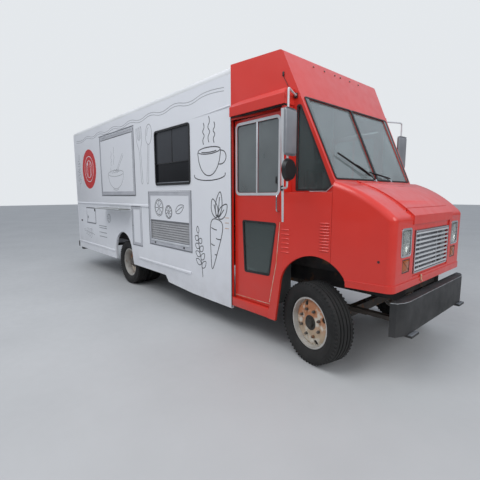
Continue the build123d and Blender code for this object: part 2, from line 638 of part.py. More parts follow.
def tyre():
    half = TYRE_W / 2
    bead = RIM_W / 2 - 4.2
    sections = [(bead, RIM_R + 1), (half, RIM_R + 40), (half - 18, TYRE_R - 22), (half - 42, TYRE_R)]
    profile = [(-y, r) for y, r in sections] + [(y, r) for y, r in reversed(sections)]
    return turned(profile) - drum(RIM_R - 6, -half, half)


def hand_holes():
    angles = [2 * math.pi * (k + 0.25) / HAND_HOLES for k in range(HAND_HOLES)]
    reach = HAND_HOLE_CIRCLE_R
    spots = [Pos(reach * math.cos(a), -200, reach * math.sin(a)) * Rot(-90, 0, 0) for a in angles]
    rods = [spot * extrude(RegularPolygon(HAND_HOLE_R, 8), amount=400) for spot in spots]
    return rods[0] + rods[1:]


def rim_body(flat_y, rim_y):
    # a barrel with two flanges, and a disc dished from its flat middle at flat_y to the barrel at rim_y
    half = RIM_W / 2
    body = drum(BARREL_R, -half + 1, half - 1)
    body += drum(RIM_R, -half, -half + 4) + drum(RIM_R, half - 4, half)
    body -= drum(RIM_R - 18, -half - 5, half + 5)
    cone = ((flat_y, DISC_FLAT_R), (rim_y, RIM_R - 16))
    dish = turned(cone) - Pos(0, DISC_THICK, 0) * turned(cone)
    body += dish - hand_holes()
    return body - hub(HUB_BORE_R, -half - 60, half + 5)


def placed(shape, side):
    # a front wheel piece, turned about its kingpin
    offset = FRONT_TYRE_Y - KINGPIN_Y
    return Pos(0, side * KINGPIN_Y, WHEEL_Z) * Rot(0, 0, STEER_AT_REST) * Pos(0, side * offset, 0) * shape


STUB_R = 29
STUB_HOLE_R = 32.5
KNUCKLE_R = 38
DISC_Y = -RIM_W / 2 + 24
front_rim = rim_body(DISC_Y, DISC_Y + 26)
front_rim += hub(HUB_BORE_R + 1, DISC_Y + 6, 36)
front_rim -= hub(STUB_HOLE_R, DISC_Y - 40, 50)
send("front_rim_right", placed(front_rim, -1))
send("front_tyre_right", placed(tyre(), -1))
send("front_rim_left", placed(other_side(front_rim), 1))
send("front_tyre_left", placed(tyre(), 1))

# Steering knuckles with their stub axles, and the beam whose forked ends hold them
knuckle = extrude(RegularPolygon(KNUCKLE_R, HUB_FACETS), amount=75, both=True)
knuckle += hub(STUB_R, -FRONT_TYRE_Y + KINGPIN_Y - 40, 0)
send("knuckle_right", Pos(0, -KINGPIN_Y, WHEEL_Z) * Rot(0, 0, STEER_AT_REST) * knuckle)
send("knuckle_left", Pos(0, KINGPIN_Y, WHEEL_Z) * Rot(0, 0, STEER_AT_REST) * other_side(knuckle))
FORK_HALF = 42
FORK_Y = KINGPIN_Y - 105
beam = slab(-40, 40, -FORK_Y, FORK_Y, WHEEL_Z - 75, WHEEL_Z + 25)
for z0, z1 in ((WHEEL_Z - 115, WHEEL_Z - 81), (WHEEL_Z + 81, WHEEL_Z + 115)):
    beam += both(slab(-FORK_HALF, FORK_HALF, -KINGPIN_Y - FORK_HALF, -FORK_Y + 20, z0, z1))
beam += both(slab(-FORK_HALF, FORK_HALF, -FORK_Y, -FORK_Y + 30, WHEEL_Z - 115, WHEEL_Z + 115))
send("front_axle", beam)

# Leaf springs under the rails: middle, half length, half width, bottom and top of each pack
SPRING_Y = RAIL_Y - 35
springs = slab(-300, 260, SPRING_Y - 35, SPRING_Y + 35, WHEEL_Z + 25, 441)
for x, length, width, z0, z1 in ((-40, 600, 35, 440, 480), (-WHEELBASE, 720, 38, 476, 528)):
    springs += slab(x - length, x + length, SPRING_Y - width, SPRING_Y + width, z0, z1)
    for end in (x - length + 20, x + length - 20):
        springs += slab(end - 20, end + 20, SPRING_Y - 30, SPRING_Y + 30, z1 - 10, RAIL_TOP - RAIL_H)
send("leaf_springs", both(springs))

# Propeller shaft, fuel tank and exhaust under the frame
send("propeller_shaft", tube((-1005, 0, 640), (-WHEELBASE + 205, 0, WHEEL_Z + 25), 45))
TANK_X0 = -3050
TANK_X1 = -1950
TANK_R = 60
tank = slab(TANK_X0, TANK_X1, -HALF_WIDTH + 190, -RAIL_Y - 40, 500, 820)
tank = tank.fillet(TANK_R, tank.edges().filter_by(Axis.X))
for x in (TANK_X0 + 200, TANK_X1 - 200):
    tank += slab(x - 25, x + 25, -RAIL_Y - 50, -RAIL_Y, 560, 800)
send("fuel_tank", tank)
PIPE_Y = HALF_WIDTH - 410
PIPE_Z = 640
exhaust = tube((-2700, PIPE_Y, PIPE_Z), (-1900, PIPE_Y, PIPE_Z), 110, 16)
exhaust += tube((-1950, PIPE_Y, PIPE_Z), (-700, PIPE_Y - 80, PIPE_Z), 32)
exhaust += tube((-2650, PIPE_Y, PIPE_Z), (-3480, PIPE_Y, PIPE_Z), 32)
for x in (-2500, -2100):
    exhaust += slab(x - 12, x + 12, RAIL_Y, PIPE_Y - 80, 700, 720)
    exhaust += slab(x - 12, x + 12, PIPE_Y - 95, PIPE_Y - 80, PIPE_Z, 720)
send("exhaust", exhaust)

# Rear axle with its round housing, and the dual wheels bolted back to back
AXLE_R = 60
HOUSING_R = 185
BACK_TO_BACK = (DUAL_OUTER_Y - DUAL_INNER_Y) / 2
axle = hub(AXLE_R, -DUAL_INNER_Y - 120, DUAL_INNER_Y + 120)
housing = ((-150, 90), (-80, HOUSING_R - 20), (0, HOUSING_R), (80, HOUSING_R - 20), (190, 60))
axle += Rot(0, 0, -90) * turned(housing, HUB_FACETS)
send("rear_axle", Pos(-WHEELBASE, 0, WHEEL_Z) * axle)
deep_rim = rim_body(-BACK_TO_BACK, -50)
rims = Pos(0, -DUAL_OUTER_Y, 0) * other_side(deep_rim) + Pos(0, -DUAL_INNER_Y, 0) * deep_rim
middle_y = -DUAL_INNER_Y - BACK_TO_BACK
rims += hub(HUB_BORE_R + 1, middle_y - 36, middle_y + 36)
rims -= hub(AXLE_R + 4, middle_y - 12, middle_y + 60)
tyres = Pos(0, -DUAL_OUTER_Y, 0) * tyre() + Pos(0, -DUAL_INNER_Y, 0) * tyre()
rims = Pos(-WHEELBASE, 0, WHEEL_Z) * rims
tyres = Pos(-WHEELBASE, 0, WHEEL_Z) * tyres
send("rear_rims_right", rims)
send("rear_rims_left", other_side(rims))
send("rear_tyres_right", tyres)
send("rear_tyres_left", other_side(tyres))

# Mirrors: an upright tube on two arms carries a flat head and a round one
MIRROR_X = -200
MIRROR_Y = -HALF_WIDTH - 140
MIRROR_TURN = 50
UPPER_ARM_Z = DRIP_Z + 88
LOWER_ARM_Z = BELT_Z + 40
foot_x = DOOR_X1 + 28
mirror_right = tube((MIRROR_X, MIRROR_Y, LOWER_ARM_Z - 18), (MIRROR_X, MIRROR_Y, UPPER_ARM_Z + 20), 11)
mirror_right += tube((MIRROR_X, MIRROR_Y, LOWER_ARM_Z), (foot_x, -HALF_WIDTH - 12, LOWER_ARM_Z), 9)
mirror_right += slab(foot_x - 14, foot_x + 14, -HALF_WIDTH - 16, -HALF_WIDTH, LOWER_ARM_Z - 25, LOWER_ARM_Z + 25)
pad_x0 = QUARTER_X - 36
pad_x1 = QUARTER_X
pad = [(x, -cab_y(x) - out) for x, out in ((pad_x0, 0), (pad_x1, 0), (pad_x1, 16), (pad_x0, 16))]
mirror_right += tube((MIRROR_X, MIRROR_Y, UPPER_ARM_Z), (pad_x1 - 16, -cab_y(pad_x1) - 12, UPPER_ARM_Z), 9)
mirror_right += plan_prism(pad, UPPER_ARM_Z - 25, UPPER_ARM_Z + 25)
heads = Pos(0, 0, 2245) * Box(60, 190, 420)
heads += Pos(-20, 0, 1905) * Rot(0, 90, 0) * extrude(RegularPolygon(112, 20), amount=40)
mirror_right += Pos(MIRROR_X + 12, MIRROR_Y - 20, 0) * Rot(0, 0, MIRROR_TURN) * heads
send("mirrors", both(mirror_right))

# Cab floor with the engine cover, the wheel houses and a step well at each door
STEP_X = -600
STEP_Z = 440
WELL_Y = DOOR_Y - DOOR_THICK - 10
DASH_X = 55
cab_floor = slab(SEAM_X + 3, DASH_X, -HOUSE_Y - 15, HOUSE_Y + 15, FLOOR_Z, FLOOR_Z + FLOOR_THICK)
cover_x = ENGINE_REAR - 20
cab_floor -= slab(cover_x + 10, 60, -COVER_HALF + 5, COVER_HALF - 5, FLOOR_Z - 10, FLOOR_Z + 100)
cab_floor += slab(cover_x, DASH_X + 3, -COVER_HALF - 10, COVER_HALF + 10, FLOOR_Z + 1, COVER_TOP)
cab_floor -= slab(cover_x + 15, 70, -COVER_HALF + 5, COVER_HALF - 5, FLOOR_Z - 20, COVER_TOP - 15)
house_line = (
    (STEP_X, HOUSE_Y),
    (DASH_X, HOUSE_Y),
    (DASH_X, HALF_WIDTH - 125),
    (-380, HALF_WIDTH - 55),
    (-392, HALF_WIDTH - 95),
    (STEP_X, HALF_WIDTH - 95),
)
house = plan_prism(house_line, HOUSE_Z, HOUSE_Z + 15)
house += slab(STEP_X, DASH_X, HOUSE_Y, HOUSE_Y + 15, FLOOR_Z, HOUSE_Z + 15)
house += slab(STEP_X, STEP_X + 12, HOUSE_Y, WELL_Y, STEP_Z, HOUSE_Z + 15)
house += slab(SEAM_X + 3, STEP_X + 5, HOUSE_Y + 15, WELL_Y, STEP_Z, STEP_Z + 25)
house += slab(SEAM_X + 3, STEP_X + 5, HOUSE_Y + 3, HOUSE_Y + 15, STEP_Z, FLOOR_Z + 5)
send("cab_floor", cab_floor + both(house))

# Dashboard, steering wheel and driver's seat
DRIVER_Y = HALF_WIDTH - 600
WHEEL_TILT = 40
STEER_WHEEL_R = 229
DASH_HALF = HALF_WIDTH - 250
dash = side_prism(((-250, 1420), (55, 1350), (55, 1685), (-40, 1690), (-200, 1640)), -DASH_HALF, DASH_HALF)
dash -= tube((-330, DRIVER_Y, 1630), (-170, DRIVER_Y, 1453), 29)
send("dashboard", dash)
grip = extrude(RegularPolygon(STEER_WHEEL_R, 20), amount=14, both=True)
grip -= extrude(RegularPolygon(STEER_WHEEL_R - 27, 20), amount=20, both=True)
grip += extrude(RegularPolygon(40, 12), amount=12, both=True)
grip += Box(2 * STEER_WHEEL_R - 30, 30, 12) + Box(30, 2 * STEER_WHEEL_R - 30, 12)
steering = Pos(-330, DRIVER_Y, 1640) * Rot(0, -WHEEL_TILT, 0) * grip
steering += tube((-330, DRIVER_Y, 1630), (-190, DRIVER_Y, 1475), 25)
send("steering_wheel", steering)
SEAT_HALF = 230
seat_y = (DRIVER_Y - SEAT_HALF, DRIVER_Y + SEAT_HALF)
seat = slab(-1080, -640, *seat_y, 1330, 1440)
seat += slab(-1120, -1020, *seat_y, 1440, 2060)
seat += slab(-960, -760, DRIVER_Y - 100, DRIVER_Y + 100, FLOOR_Z + FLOOR_THICK, 1330)
send("driver_seat", seat)
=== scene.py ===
# %% [markdown]
# # A walk-in van food truck
# The exact solids of the truck are loaded first and stay where they are: they say how big it is and how it moves.
# This script dresses them. Every length below is given as on the drawing, in millimetres counted forward from the
# front axle, to the left of the middle and up from the ground, and at() turns such a place into metres.

# %% Load the truck
import bpy
import bmesh
import json
import math
from mathutils import Matrix, Vector

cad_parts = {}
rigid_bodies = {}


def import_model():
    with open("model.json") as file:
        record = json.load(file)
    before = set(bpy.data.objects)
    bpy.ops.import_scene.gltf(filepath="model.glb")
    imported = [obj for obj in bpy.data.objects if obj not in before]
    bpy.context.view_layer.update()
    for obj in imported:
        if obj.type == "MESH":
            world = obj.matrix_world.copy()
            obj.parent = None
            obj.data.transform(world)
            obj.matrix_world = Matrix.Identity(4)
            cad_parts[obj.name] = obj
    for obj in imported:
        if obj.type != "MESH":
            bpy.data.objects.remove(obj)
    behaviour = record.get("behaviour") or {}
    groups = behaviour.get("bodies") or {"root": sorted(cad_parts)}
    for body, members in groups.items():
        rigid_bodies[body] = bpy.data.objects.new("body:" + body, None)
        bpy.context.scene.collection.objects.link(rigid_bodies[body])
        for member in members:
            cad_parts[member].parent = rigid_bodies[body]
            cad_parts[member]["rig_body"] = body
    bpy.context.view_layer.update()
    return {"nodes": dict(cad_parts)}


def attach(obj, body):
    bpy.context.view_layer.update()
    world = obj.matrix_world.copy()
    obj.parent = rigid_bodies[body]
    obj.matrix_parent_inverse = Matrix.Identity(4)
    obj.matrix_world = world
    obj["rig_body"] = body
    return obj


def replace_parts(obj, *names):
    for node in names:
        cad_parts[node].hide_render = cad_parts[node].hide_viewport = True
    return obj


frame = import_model()
TRUCK_AXLE = 3.085
SIDES = (("right", -1), ("left", 1))


def at(x, y, z):
    return Vector((x / 1000 + TRUCK_AXLE, y / 1000, z / 1000))


# %% [markdown]
# ## Camera
# The camera stands in front of the truck's right corner, a little above eye height, and looks slightly down.
# Its place and angle were fitted to the photograph's corners, so a piece that is right in size also lands on the
# right pixel.

# %% Camera
YAW, PITCH, ROLL = (math.radians(angle) for angle in (41.8855, 7.5675, -0.1206))
CAMERA_PLACE = (5.01533, -3.68474, 1.67715)
forward = Vector((-math.cos(YAW) * math.cos(PITCH), math.sin(YAW) * math.cos(PITCH), -math.sin(PITCH)))
right = forward.cross(Vector((0, 0, 1))).normalized()
up = right.cross(forward)
level_right = math.cos(ROLL) * right + math.sin(ROLL) * up
level_up = math.cos(ROLL) * up - math.sin(ROLL) * right
camera_data = bpy.data.cameras.new("photo_camera")
camera_data.lens = 25.643
camera_data.sensor_width = 36
camera = bpy.data.objects.new("photo_camera", camera_data)
turn = Matrix((level_right, level_up, -forward)).transposed().to_4x4()
camera.matrix_world = Matrix.Translation(CAMERA_PLACE) @ turn
bpy.context.scene.collection.objects.link(camera)
bpy.context.scene.camera = camera
print("lens", camera_data.lens, "mm")

# %% [markdown]
# ## Light
# The truck stands outdoors under a grey sky, so the light is soft and comes from all round, a little stronger from
# above and ahead. Paint and glass mirror a bright sky above and a dark horizon, as in a yard with buildings round it.
# node() adds one shader node and fills its sockets, here and in every finish below.

# %% Light
scene = bpy.context.scene
scene.view_settings.view_transform = "Standard"
world = bpy.data.worlds.new("soft_sky")
scene.world = world
world.use_nodes = True


def fill(tree, made, values):
    # each socket gets a number, a colour or another node's output
    for socket, value in values.items():
        if isinstance(value, bpy.types.NodeSocket):
            tree.links.new(value, made.inputs[socket])
        else:
            made.inputs[socket].default_value = value
    return made


def node(tree, kind, values=(), operation=None):
    made = tree.nodes.new("ShaderNode" + kind)
    if kind == "Mix":
        made.data_type = "RGBA"
    if operation:
        made.operation = operation
    return fill(tree, made, dict(values))


sky = world.node_tree
lit = fill(sky, sky.nodes["Background"], {"Color": (0.86, 0.9, 0.96, 1), "Strength": 0.62})
height = node(sky, "SeparateXYZ", {0: node(sky, "TexCoord").outputs["Generated"]})
fade = node(sky, "MapRange", {"Value": height.outputs["Z"], "From Min": 0.02, "From Max": 0.55})
tint = node(sky, "Mix", {"Factor": fade.outputs["Result"], 6: (0.1, 0.1, 0.098, 1), 7: (0.78, 0.86, 0.98, 1)})
mirrored = node(sky, "Background", {"Color": tint.outputs[2]})
ray = node(sky, "LightPath")
unseen = node(sky, "MixShader", {"Fac": ray.outputs["Is Glossy Ray"], 1: lit.outputs[0], 2: mirrored.outputs[0]})
straight_on = node(sky, "Math", {0: ray.outputs["Is Camera Ray"], 1: ray.outputs["Is Transmission Ray"]}, "MAXIMUM")
seen = node(sky, "Background", {"Color": (0.82, 0.85, 0.88, 1), "Strength": 0.95})
whole_sky = node(sky, "MixShader", {"Fac": straight_on.outputs[0], 1: unseen.outputs[0], 2: seen.outputs[0]})
fill(sky, sky.nodes["World Output"], {"Surface": whole_sky.outputs[0]})


def soft_lamp(name, place, target, size, watts):
    data = bpy.data.lights.new(name, "AREA")
    data.shape = "DISK"
    data.size = size
    data.energy = watts
    lamp = bpy.data.objects.new(name, data)
    lamp.location = place
    lamp.rotation_euler = (Vector(target) - Vector(place)).to_track_quat("-Z", "Y").to_euler()
    scene.collection.objects.link(lamp)


soft_lamp("high_softbox", (1.4, -5.6, 9.2), (-0.6, -0.5, 1.2), 7, 440)
soft_lamp("front_softbox", (11.0, -1.0, 6.0), (2.5, 0, 1.5), 6, 330)

# %% [markdown]
# ## Finishes
# No real surface is one flat colour: paint fades in clouds, dust settles low down, rubber greys and metal is brushed.
# The recipe below mixes two near colours by a slow noise, lays dirt over the lower part, varies the gloss by a
# second noise and lifts the surface a little by a third. Each finish is one call with its own numbers. The patterns
# follow the object's own coordinates, so they stay with a piece when it moves.

# %% Recipe for a finish
RELIEF = 0.002


def noise(tree, coords, scale, detail=4.0, stretch=(1, 1, 1)):
    placing = node(tree, "Mapping", {"Scale": stretch, "Vector": coords}).outputs["Vector"]
    return node(tree, "TexNoise", {"Scale": scale, "Detail": detail, "Vector": placing}).outputs["Fac"]


def ranged(tree, value, from_low, from_high, to_low, to_high):
    numbers = {"From Min": from_low, "From Max": from_high, "To Min": to_low, "To Max": to_high}
    return node(tree, "MapRange", {"Value": value, **numbers}).outputs["Result"]


def mixed(tree, share, first, second):
    first, second = ((*colour, 1) if isinstance(colour, tuple) else colour for colour in (first, second))
    return node(tree, "Mix", {"Factor": share, 6: first, 7: second}).outputs[2]


def new_material(name):
    material = bpy.data.materials.new(name)
    material.use_nodes = True
    return material, material.node_tree, node(material.node_tree, "TexCoord").outputs["Object"]


def dress(tree, paint, rough, relief, bump, numbers):
    lift = node(tree, "Bump", {"Strength": bump, "Distance": RELIEF, "Height": relief}).outputs["Normal"]
    looks = {"Base Color": paint, "Roughness": rough, "Normal": lift, **numbers}
    fill(tree, tree.nodes["Principled BSDF"], looks)


def finish(name, colour, faded, gloss=(0.35, 0.5), cloud=1.5, metal=0.0, coat=0.0, bump=0.05, grain=180,
           stretch=(1, 1, 1), dirt=None, dirt_top=1.0, dirt_most=0.5, rust=None):
    material, tree, coords = new_material(name)
    paint = mixed(tree, ranged(tree, noise(tree, coords, cloud), 0.35, 0.65, 0, 1), colour, faded)
    if rust:
        rusty, scale, share = rust
        blots = ranged(tree, noise(tree, coords, scale, 8), share, share + 0.08, 0, 1)
        paint = mixed(tree, blots, paint, rusty)
    if dirt:
        low = ranged(tree, node(tree, "SeparateXYZ", {0: coords}).outputs["Z"], 0.1, dirt_top, dirt_most, 0)
        patches = ranged(tree, noise(tree, coords, 6, 8), 0.3, 0.7, 0.25, 1)
        paint = mixed(tree, node(tree, "Math", {0: low, 1: patches}, "MULTIPLY").outputs[0], paint, dirt)
    rough = ranged(tree, noise(tree, coords, 9), 0.3, 0.7, *gloss)
    dress(tree, paint, rough, noise(tree, coords, grain, 3, stretch), bump,
          {"Metallic": metal, "Coat Weight": coat, "Coat Roughness": 0.06})
    return material


print("recipe ready")

# %% The finishes
DUST = {"dirt": (0.23, 0.2, 0.17), "dirt_top": 0.9}
RED = finish("red_cab_paint", (0.66, 0.027, 0.014), (0.6, 0.023, 0.012), (0.3, 0.42), 0.8, coat=0.4, bump=0.03,
             dirt_most=0.12, **DUST)
WRAP = finish("white_wrap", (0.75, 0.765, 0.805), (0.71, 0.725, 0.77), (0.28, 0.4), 0.7, coat=0.25, bump=0.03,
              dirt_most=0.3, **DUST)
ROOF = finish("white_roof", (0.72, 0.73, 0.75), (0.64, 0.65, 0.66), (0.4, 0.6), 1.2, grain=60)
ALUMINIUM = finish("brushed_aluminium", (0.5, 0.51, 0.52), (0.4, 0.41, 0.42), (0.32, 0.48), 3, 0.75, bump=0.12,
                   grain=240, stretch=(0.04, 1, 1))
GREY_FRAME = finish("grey_door_frame", (0.24, 0.25, 0.27), (0.19, 0.2, 0.22), (0.35, 0.5), 3, 0.25)
DOOR_FRAME = finish("pale_door_frame", (0.55, 0.56, 0.6), (0.46, 0.47, 0.51), (0.32, 0.48), 4, 0.25, bump=0.06)
MIRROR_BACK = finish("mirror_back", (0.27, 0.28, 0.3), (0.22, 0.23, 0.25), (0.3, 0.42), 5, 0.2, bump=0.04)
SILVER_FRAME = finish("silver_window_frame", (0.68, 0.69, 0.71), (0.58, 0.6, 0.62), (0.3, 0.42), 4, 0.35, bump=0.06)
CHROME = finish("chrome", (0.72, 0.73, 0.75), (0.62, 0.63, 0.65), (0.08, 0.2), 5, 1.0, bump=0.02)
RUBBER = finish("black_gasket", (0.01, 0.01, 0.011), (0.02, 0.02, 0.021), (0.55, 0.75), 6, bump=0.15, grain=300)
TYRE = finish("tyre_rubber", (0.007, 0.007, 0.007), (0.013, 0.0125, 0.012), (0.75, 0.9), 5, bump=0.25, grain=260,
              dirt=(0.035, 0.032, 0.028), dirt_top=0.75, dirt_most=0.35)
BLACK = finish("black_satin", (0.01, 0.01, 0.011), (0.018, 0.018, 0.019), (0.3, 0.45), 5, bump=0.06)
BUMPER = finish("charcoal_bumper", (0.012, 0.0125, 0.013), (0.03, 0.03, 0.031), (0.55, 0.75), 4, bump=0.12,
                grain=120, dirt=(0.05, 0.047, 0.042), dirt_top=0.75, dirt_most=0.3)
FRAME_PAINT = finish("frame_paint", (0.028, 0.028, 0.029), (0.06, 0.055, 0.05), (0.6, 0.8), 5, bump=0.3, grain=90,
                     rust=((0.16, 0.075, 0.035), 7, 0.6))
IRON = finish("cast_iron", (0.07, 0.062, 0.055), (0.11, 0.09, 0.075), (0.6, 0.8), 6, bump=0.4, grain=140,
              rust=((0.2, 0.09, 0.04), 9, 0.56))
PIPE = finish("exhaust_steel", (0.2, 0.17, 0.15), (0.3, 0.26, 0.22), (0.45, 0.7), 5, 0.6, bump=0.15,
              rust=((0.22, 0.1, 0.05), 8, 0.57))
INSIDE = finish("dark_trim", (0.05, 0.052, 0.055), (0.075, 0.077, 0.08), (0.5, 0.7), 4, bump=0.2, grain=220)
PLATE = finish("floor_plate", (0.17, 0.18, 0.175), (0.13, 0.14, 0.135), (0.5, 0.7), 4, 0.2, bump=0.06, grain=40)
SEAT = finish("seat_vinyl", (0.04, 0.042, 0.045), (0.06, 0.062, 0.065), (0.4, 0.55), 5, bump=0.35, grain=320)
INK = finish("ink_line", (0.035, 0.037, 0.042), (0.06, 0.062, 0.068), (0.4, 0.5), 5, bump=0.02)
INK_SOFT = finish("soft_ink_line", (0.3, 0.31, 0.335), (0.38, 0.39, 0.41), (0.4, 0.5), 5, bump=0.02)
ACCENT = finish("red_vinyl", (0.6, 0.03, 0.03), (0.52, 0.022, 0.024), (0.3, 0.42), 3, bump=0.02)
TRIM_LINE = finish("worn_orange_trim", (0.55, 0.25, 0.12), (0.6, 0.5, 0.42), (0.4, 0.6), 14, bump=0.1)
ORANGE_LAMP = finish("amber_lens", (0.42, 0.1, 0.012), (0.33, 0.07, 0.01), (0.12, 0.2), 9, coat=0.6, bump=0.02)
LOUVRE_GREY = finish("louvre_grey", (0.42, 0.42, 0.43), (0.37, 0.37, 0.38), (0.45, 0.6), 4, 0.2, bump=0.06)
RED_LAMP = finish("red_lens", (0.3, 0.012, 0.01), (0.22, 0.01, 0.01), (0.12, 0.2), 9, coat=0.6, bump=0.02)
SHELF_GREY = finish("dull_shelf_metal", (0.3, 0.31, 0.3), (0.25, 0.26, 0.25), (0.45, 0.6), 4, 0.3, bump=0.08)
DARK_LAMP = finish("dark_marker_lens", (0.06, 0.03, 0.025), (0.09, 0.04, 0.03), (0.15, 0.25), 9, coat=0.5, bump=0.02)
HUB_BLACK = finish("greasy_hub", (0.02, 0.02, 0.017), (0.035, 0.032, 0.026), (0.45, 0.65), 8, bump=0.2, grain=140)
PALE_EDGE = finish("pale_bumper_edge", (0.3, 0.31, 0.32), (0.16, 0.165, 0.17), (0.4, 0.6), 18, 0.4, bump=0.2)
REFLECTOR = finish("lamp_reflector", (0.75, 0.76, 0.76), (0.6, 0.62, 0.6), (0.12, 0.22), 12, 0.9)
print("finishes", len(bpy.data.materials))

# %% [markdown]
# The wheel's disc has its own finish: white paint that has flaked to orange rust above and a beige film of brake
# dust below, as the weather left it.

# %% Finish of the wheel discs
WHEEL_HEIGHT = 408.4


def wheel_paint(name, upper, lower, height):
    material = finish(name, (0.62, 0.58, 0.5), (0.5, 0.44, 0.36), (0.45, 0.65), 7, bump=0.15, grain=120)
    tree = material.node_tree
    base = tree.nodes["Principled BSDF"].inputs["Base Color"]
    coords = node(tree, "TexCoord").outputs["Object"]
    above = ranged(tree, node(tree, "SeparateXYZ", {0: coords}).outputs["Z"], height - 0.1, height + 0.06, 0, 1)
    blots = ranged(tree, noise(tree, coords, 11, 9), 0.4, 0.5, 0, 0.9)
    tree.links.new(mixed(tree, blots, base.links[0].from_socket, mixed(tree, above, lower, upper)), base)
    return material


DISC = wheel_paint("rusty_wheel_disc", (0.42, 0.15, 0.05), (0.48, 0.36, 0.24), WHEEL_HEIGHT / 1000)
RIM = finish("silver_rim", (0.56, 0.55, 0.52), (0.42, 0.4, 0.37), (0.38, 0.55), 6, 0.3, bump=0.1,
             rust=((0.25, 0.12, 0.06), 10, 0.62))
print("wheel finishes made")

# %% [markdown]
# Glass is its own recipe. Clear panes let the view through and mirror the sky; the kitchen window is tinted almost
# black; a lamp's lens is nearly clear.

# %% Glass


def glass(name, colour, see_through, ripple):
    material, tree, coords = new_material(name)
    film = ranged(tree, noise(tree, coords, 2.5, 6), 0.35, 0.7, 0, 1)
    paint = mixed(tree, film, colour, tuple(0.85 * part for part in colour))
    rough = ranged(tree, noise(tree, coords, 5), 0.3, 0.7, 0.02, 0.07)
    dress(tree, paint, rough, noise(tree, coords, 1.2, 1), ripple, {"Transmission Weight": see_through, "IOR": 1.5})
    return material


CLEAR = glass("windshield_glass", (0.5, 0.57, 0.58), 0.72, 0.15)
DOOR_PANE = glass("door_glass", (0.36, 0.4, 0.41), 0.6, 0.15)
QUARTER_PANE = glass("quarter_glass", (0.2, 0.25, 0.25), 0.75, 0.15)
LOW_PANE = glass("low_door_glass", (0.12, 0.155, 0.15), 0.6, 0.08)
SCREEN_EDGE = glass("windshield_edge_tint", (0.13, 0.155, 0.158), 0.0, 0.08)
TINTED = glass("tinted_glass", (0.012, 0.013, 0.016), 0.0, 0.1)
UPPER_TINT = glass("upper_tinted_glass", (0.045, 0.048, 0.055), 0.0, 0.1)
LENS = glass("clear_lens", (0.8, 0.82, 0.8), 0.9, 0.1)
MIRROR = finish("mirror_glass", (0.75, 0.77, 0.8), (0.7, 0.72, 0.75), (0.02, 0.05), 2, 1.0, bump=0.0)
print("glass made")

# %% [markdown]
# ## Tools for making pieces
# piece() turns a bmesh into a finished object: seams closed, faces outwards, smooth where the surface bends and sharp
# at its corners, and riding on its body. The add_ tools make the few raw shapes that the truck's trim is built from,
# and built() makes a whole piece from rows of numbers: a row is a block, or it names another tool first.

# %% Tools
RIGHT, BACK, AHEAD = (0, -1, 0), (-1, 0, 0), (1, 0, 0)
MERGE = 0.00002
FULL_TURN = 2 * math.pi
shift = Matrix.Translation


def turned(degrees, axis):
    return Matrix.Rotation(math.radians(degrees), 4, axis)


def sized(*size):
    return Matrix.Diagonal((*size, 1))


def moved(bm, place):
    bmesh.ops.transform(bm, matrix=place, verts=bm.verts)
    return bm


def everything(bm):
    return bm.verts[:] + bm.edges[:] + bm.faces[:]


def of_kind(items, kind):
    return [item for item in items if isinstance(item, kind)]


def as_object(name, bm):
    mesh = bpy.data.meshes.new(name)
    bm.to_mesh(mesh)
    bm.free()
    made = bpy.data.objects.new(name, mesh)
    scene.collection.objects.link(made)
    return made


def evaluated_mesh(obj):
    # the object's mesh with its modifiers done
    return bpy.data.meshes.new_from_object(obj.evaluated_get(bpy.context.evaluated_depsgraph_get()))


def piece(name, bm, body, material, sharp=35, soften=0.0, steps=2):
    bmesh.ops.remove_doubles(bm, verts=bm.verts, dist=MERGE)
    bmesh.ops.recalc_face_normals(bm, faces=bm.faces)
    made = as_object(name, bm)
    mesh = made.data
    mesh.polygons.foreach_set("use_smooth", [True] * len(mesh.polygons))
    mesh.set_sharp_from_angle(angle=math.radians(sharp))
    mesh.materials.append(material)
    if soften:
        bevel = made.modifiers.new("soft_edges", "BEVEL")
        bevel.width = soften / 1000
        bevel.segments = steps
        bevel.limit_method = "ANGLE"
        bevel.angle_limit = math.radians(28)
        bevel.harden_normals = True
    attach(made, body)
    return made


# %% Raw shapes


def round_off(bm, geom, by, segments=2, affect="EDGES"):
    bmesh.ops.bevel(bm, geom=geom, offset=by / 1000, segments=segments, profile=0.5, affect=affect, material=-1)


def add_cube(bm, place, round_by=0.0, segments=2):
    made = bmesh.ops.create_cube(bm, size=1, matrix=place)
    if round_by:
        round_off(bm, list({edge for vert in made["verts"] for edge in vert.link_edges}), round_by, segments)


def add_block(bm, x0, x1, y0, y1, z0, z1, round_by=0.0, segments=2):
    low, high = at(min(x0, x1), min(y0, y1), min(z0, z1)), at(max(x0, x1), max(y0, y1), max(z0, z1))
    add_cube(bm, shift((low + high) / 2) @ sized(*(high - low)), round_by, segments)


def add_drum(bm, place, radius, depth, sides=32, end=None):
    # a cylinder or a cone about its own Z, in metres
    tip = radius if end is None else end
    bmesh.ops.create_cone(bm, cap_ends=True, segments=sides, radius1=radius, radius2=tip, depth=depth, matrix=place)


def add_ball(bm, place, around, rings, radius=1):
    bmesh.ops.create_uvsphere(bm, u_segments=around, v_segments=rings, radius=radius, matrix=place)


def add_rod(bm, a, b, radius, sides=16, radius_end=None):
    a, b = at(*a), at(*b)
    facing = (b - a).to_track_quat("Z", "Y").to_matrix().to_4x4()
    tip = (radius if radius_end is None else radius_end) / 1000
    add_drum(bm, shift((a + b) / 2) @ facing, radius / 1000, (b - a).length, sides, tip)


def spin_round(bm, geom, axis, steps):
    bmesh.ops.spin(bm, geom=geom, cent=(0, 0, 0), axis=axis, angle=FULL_TURN, steps=steps, use_merge=True)


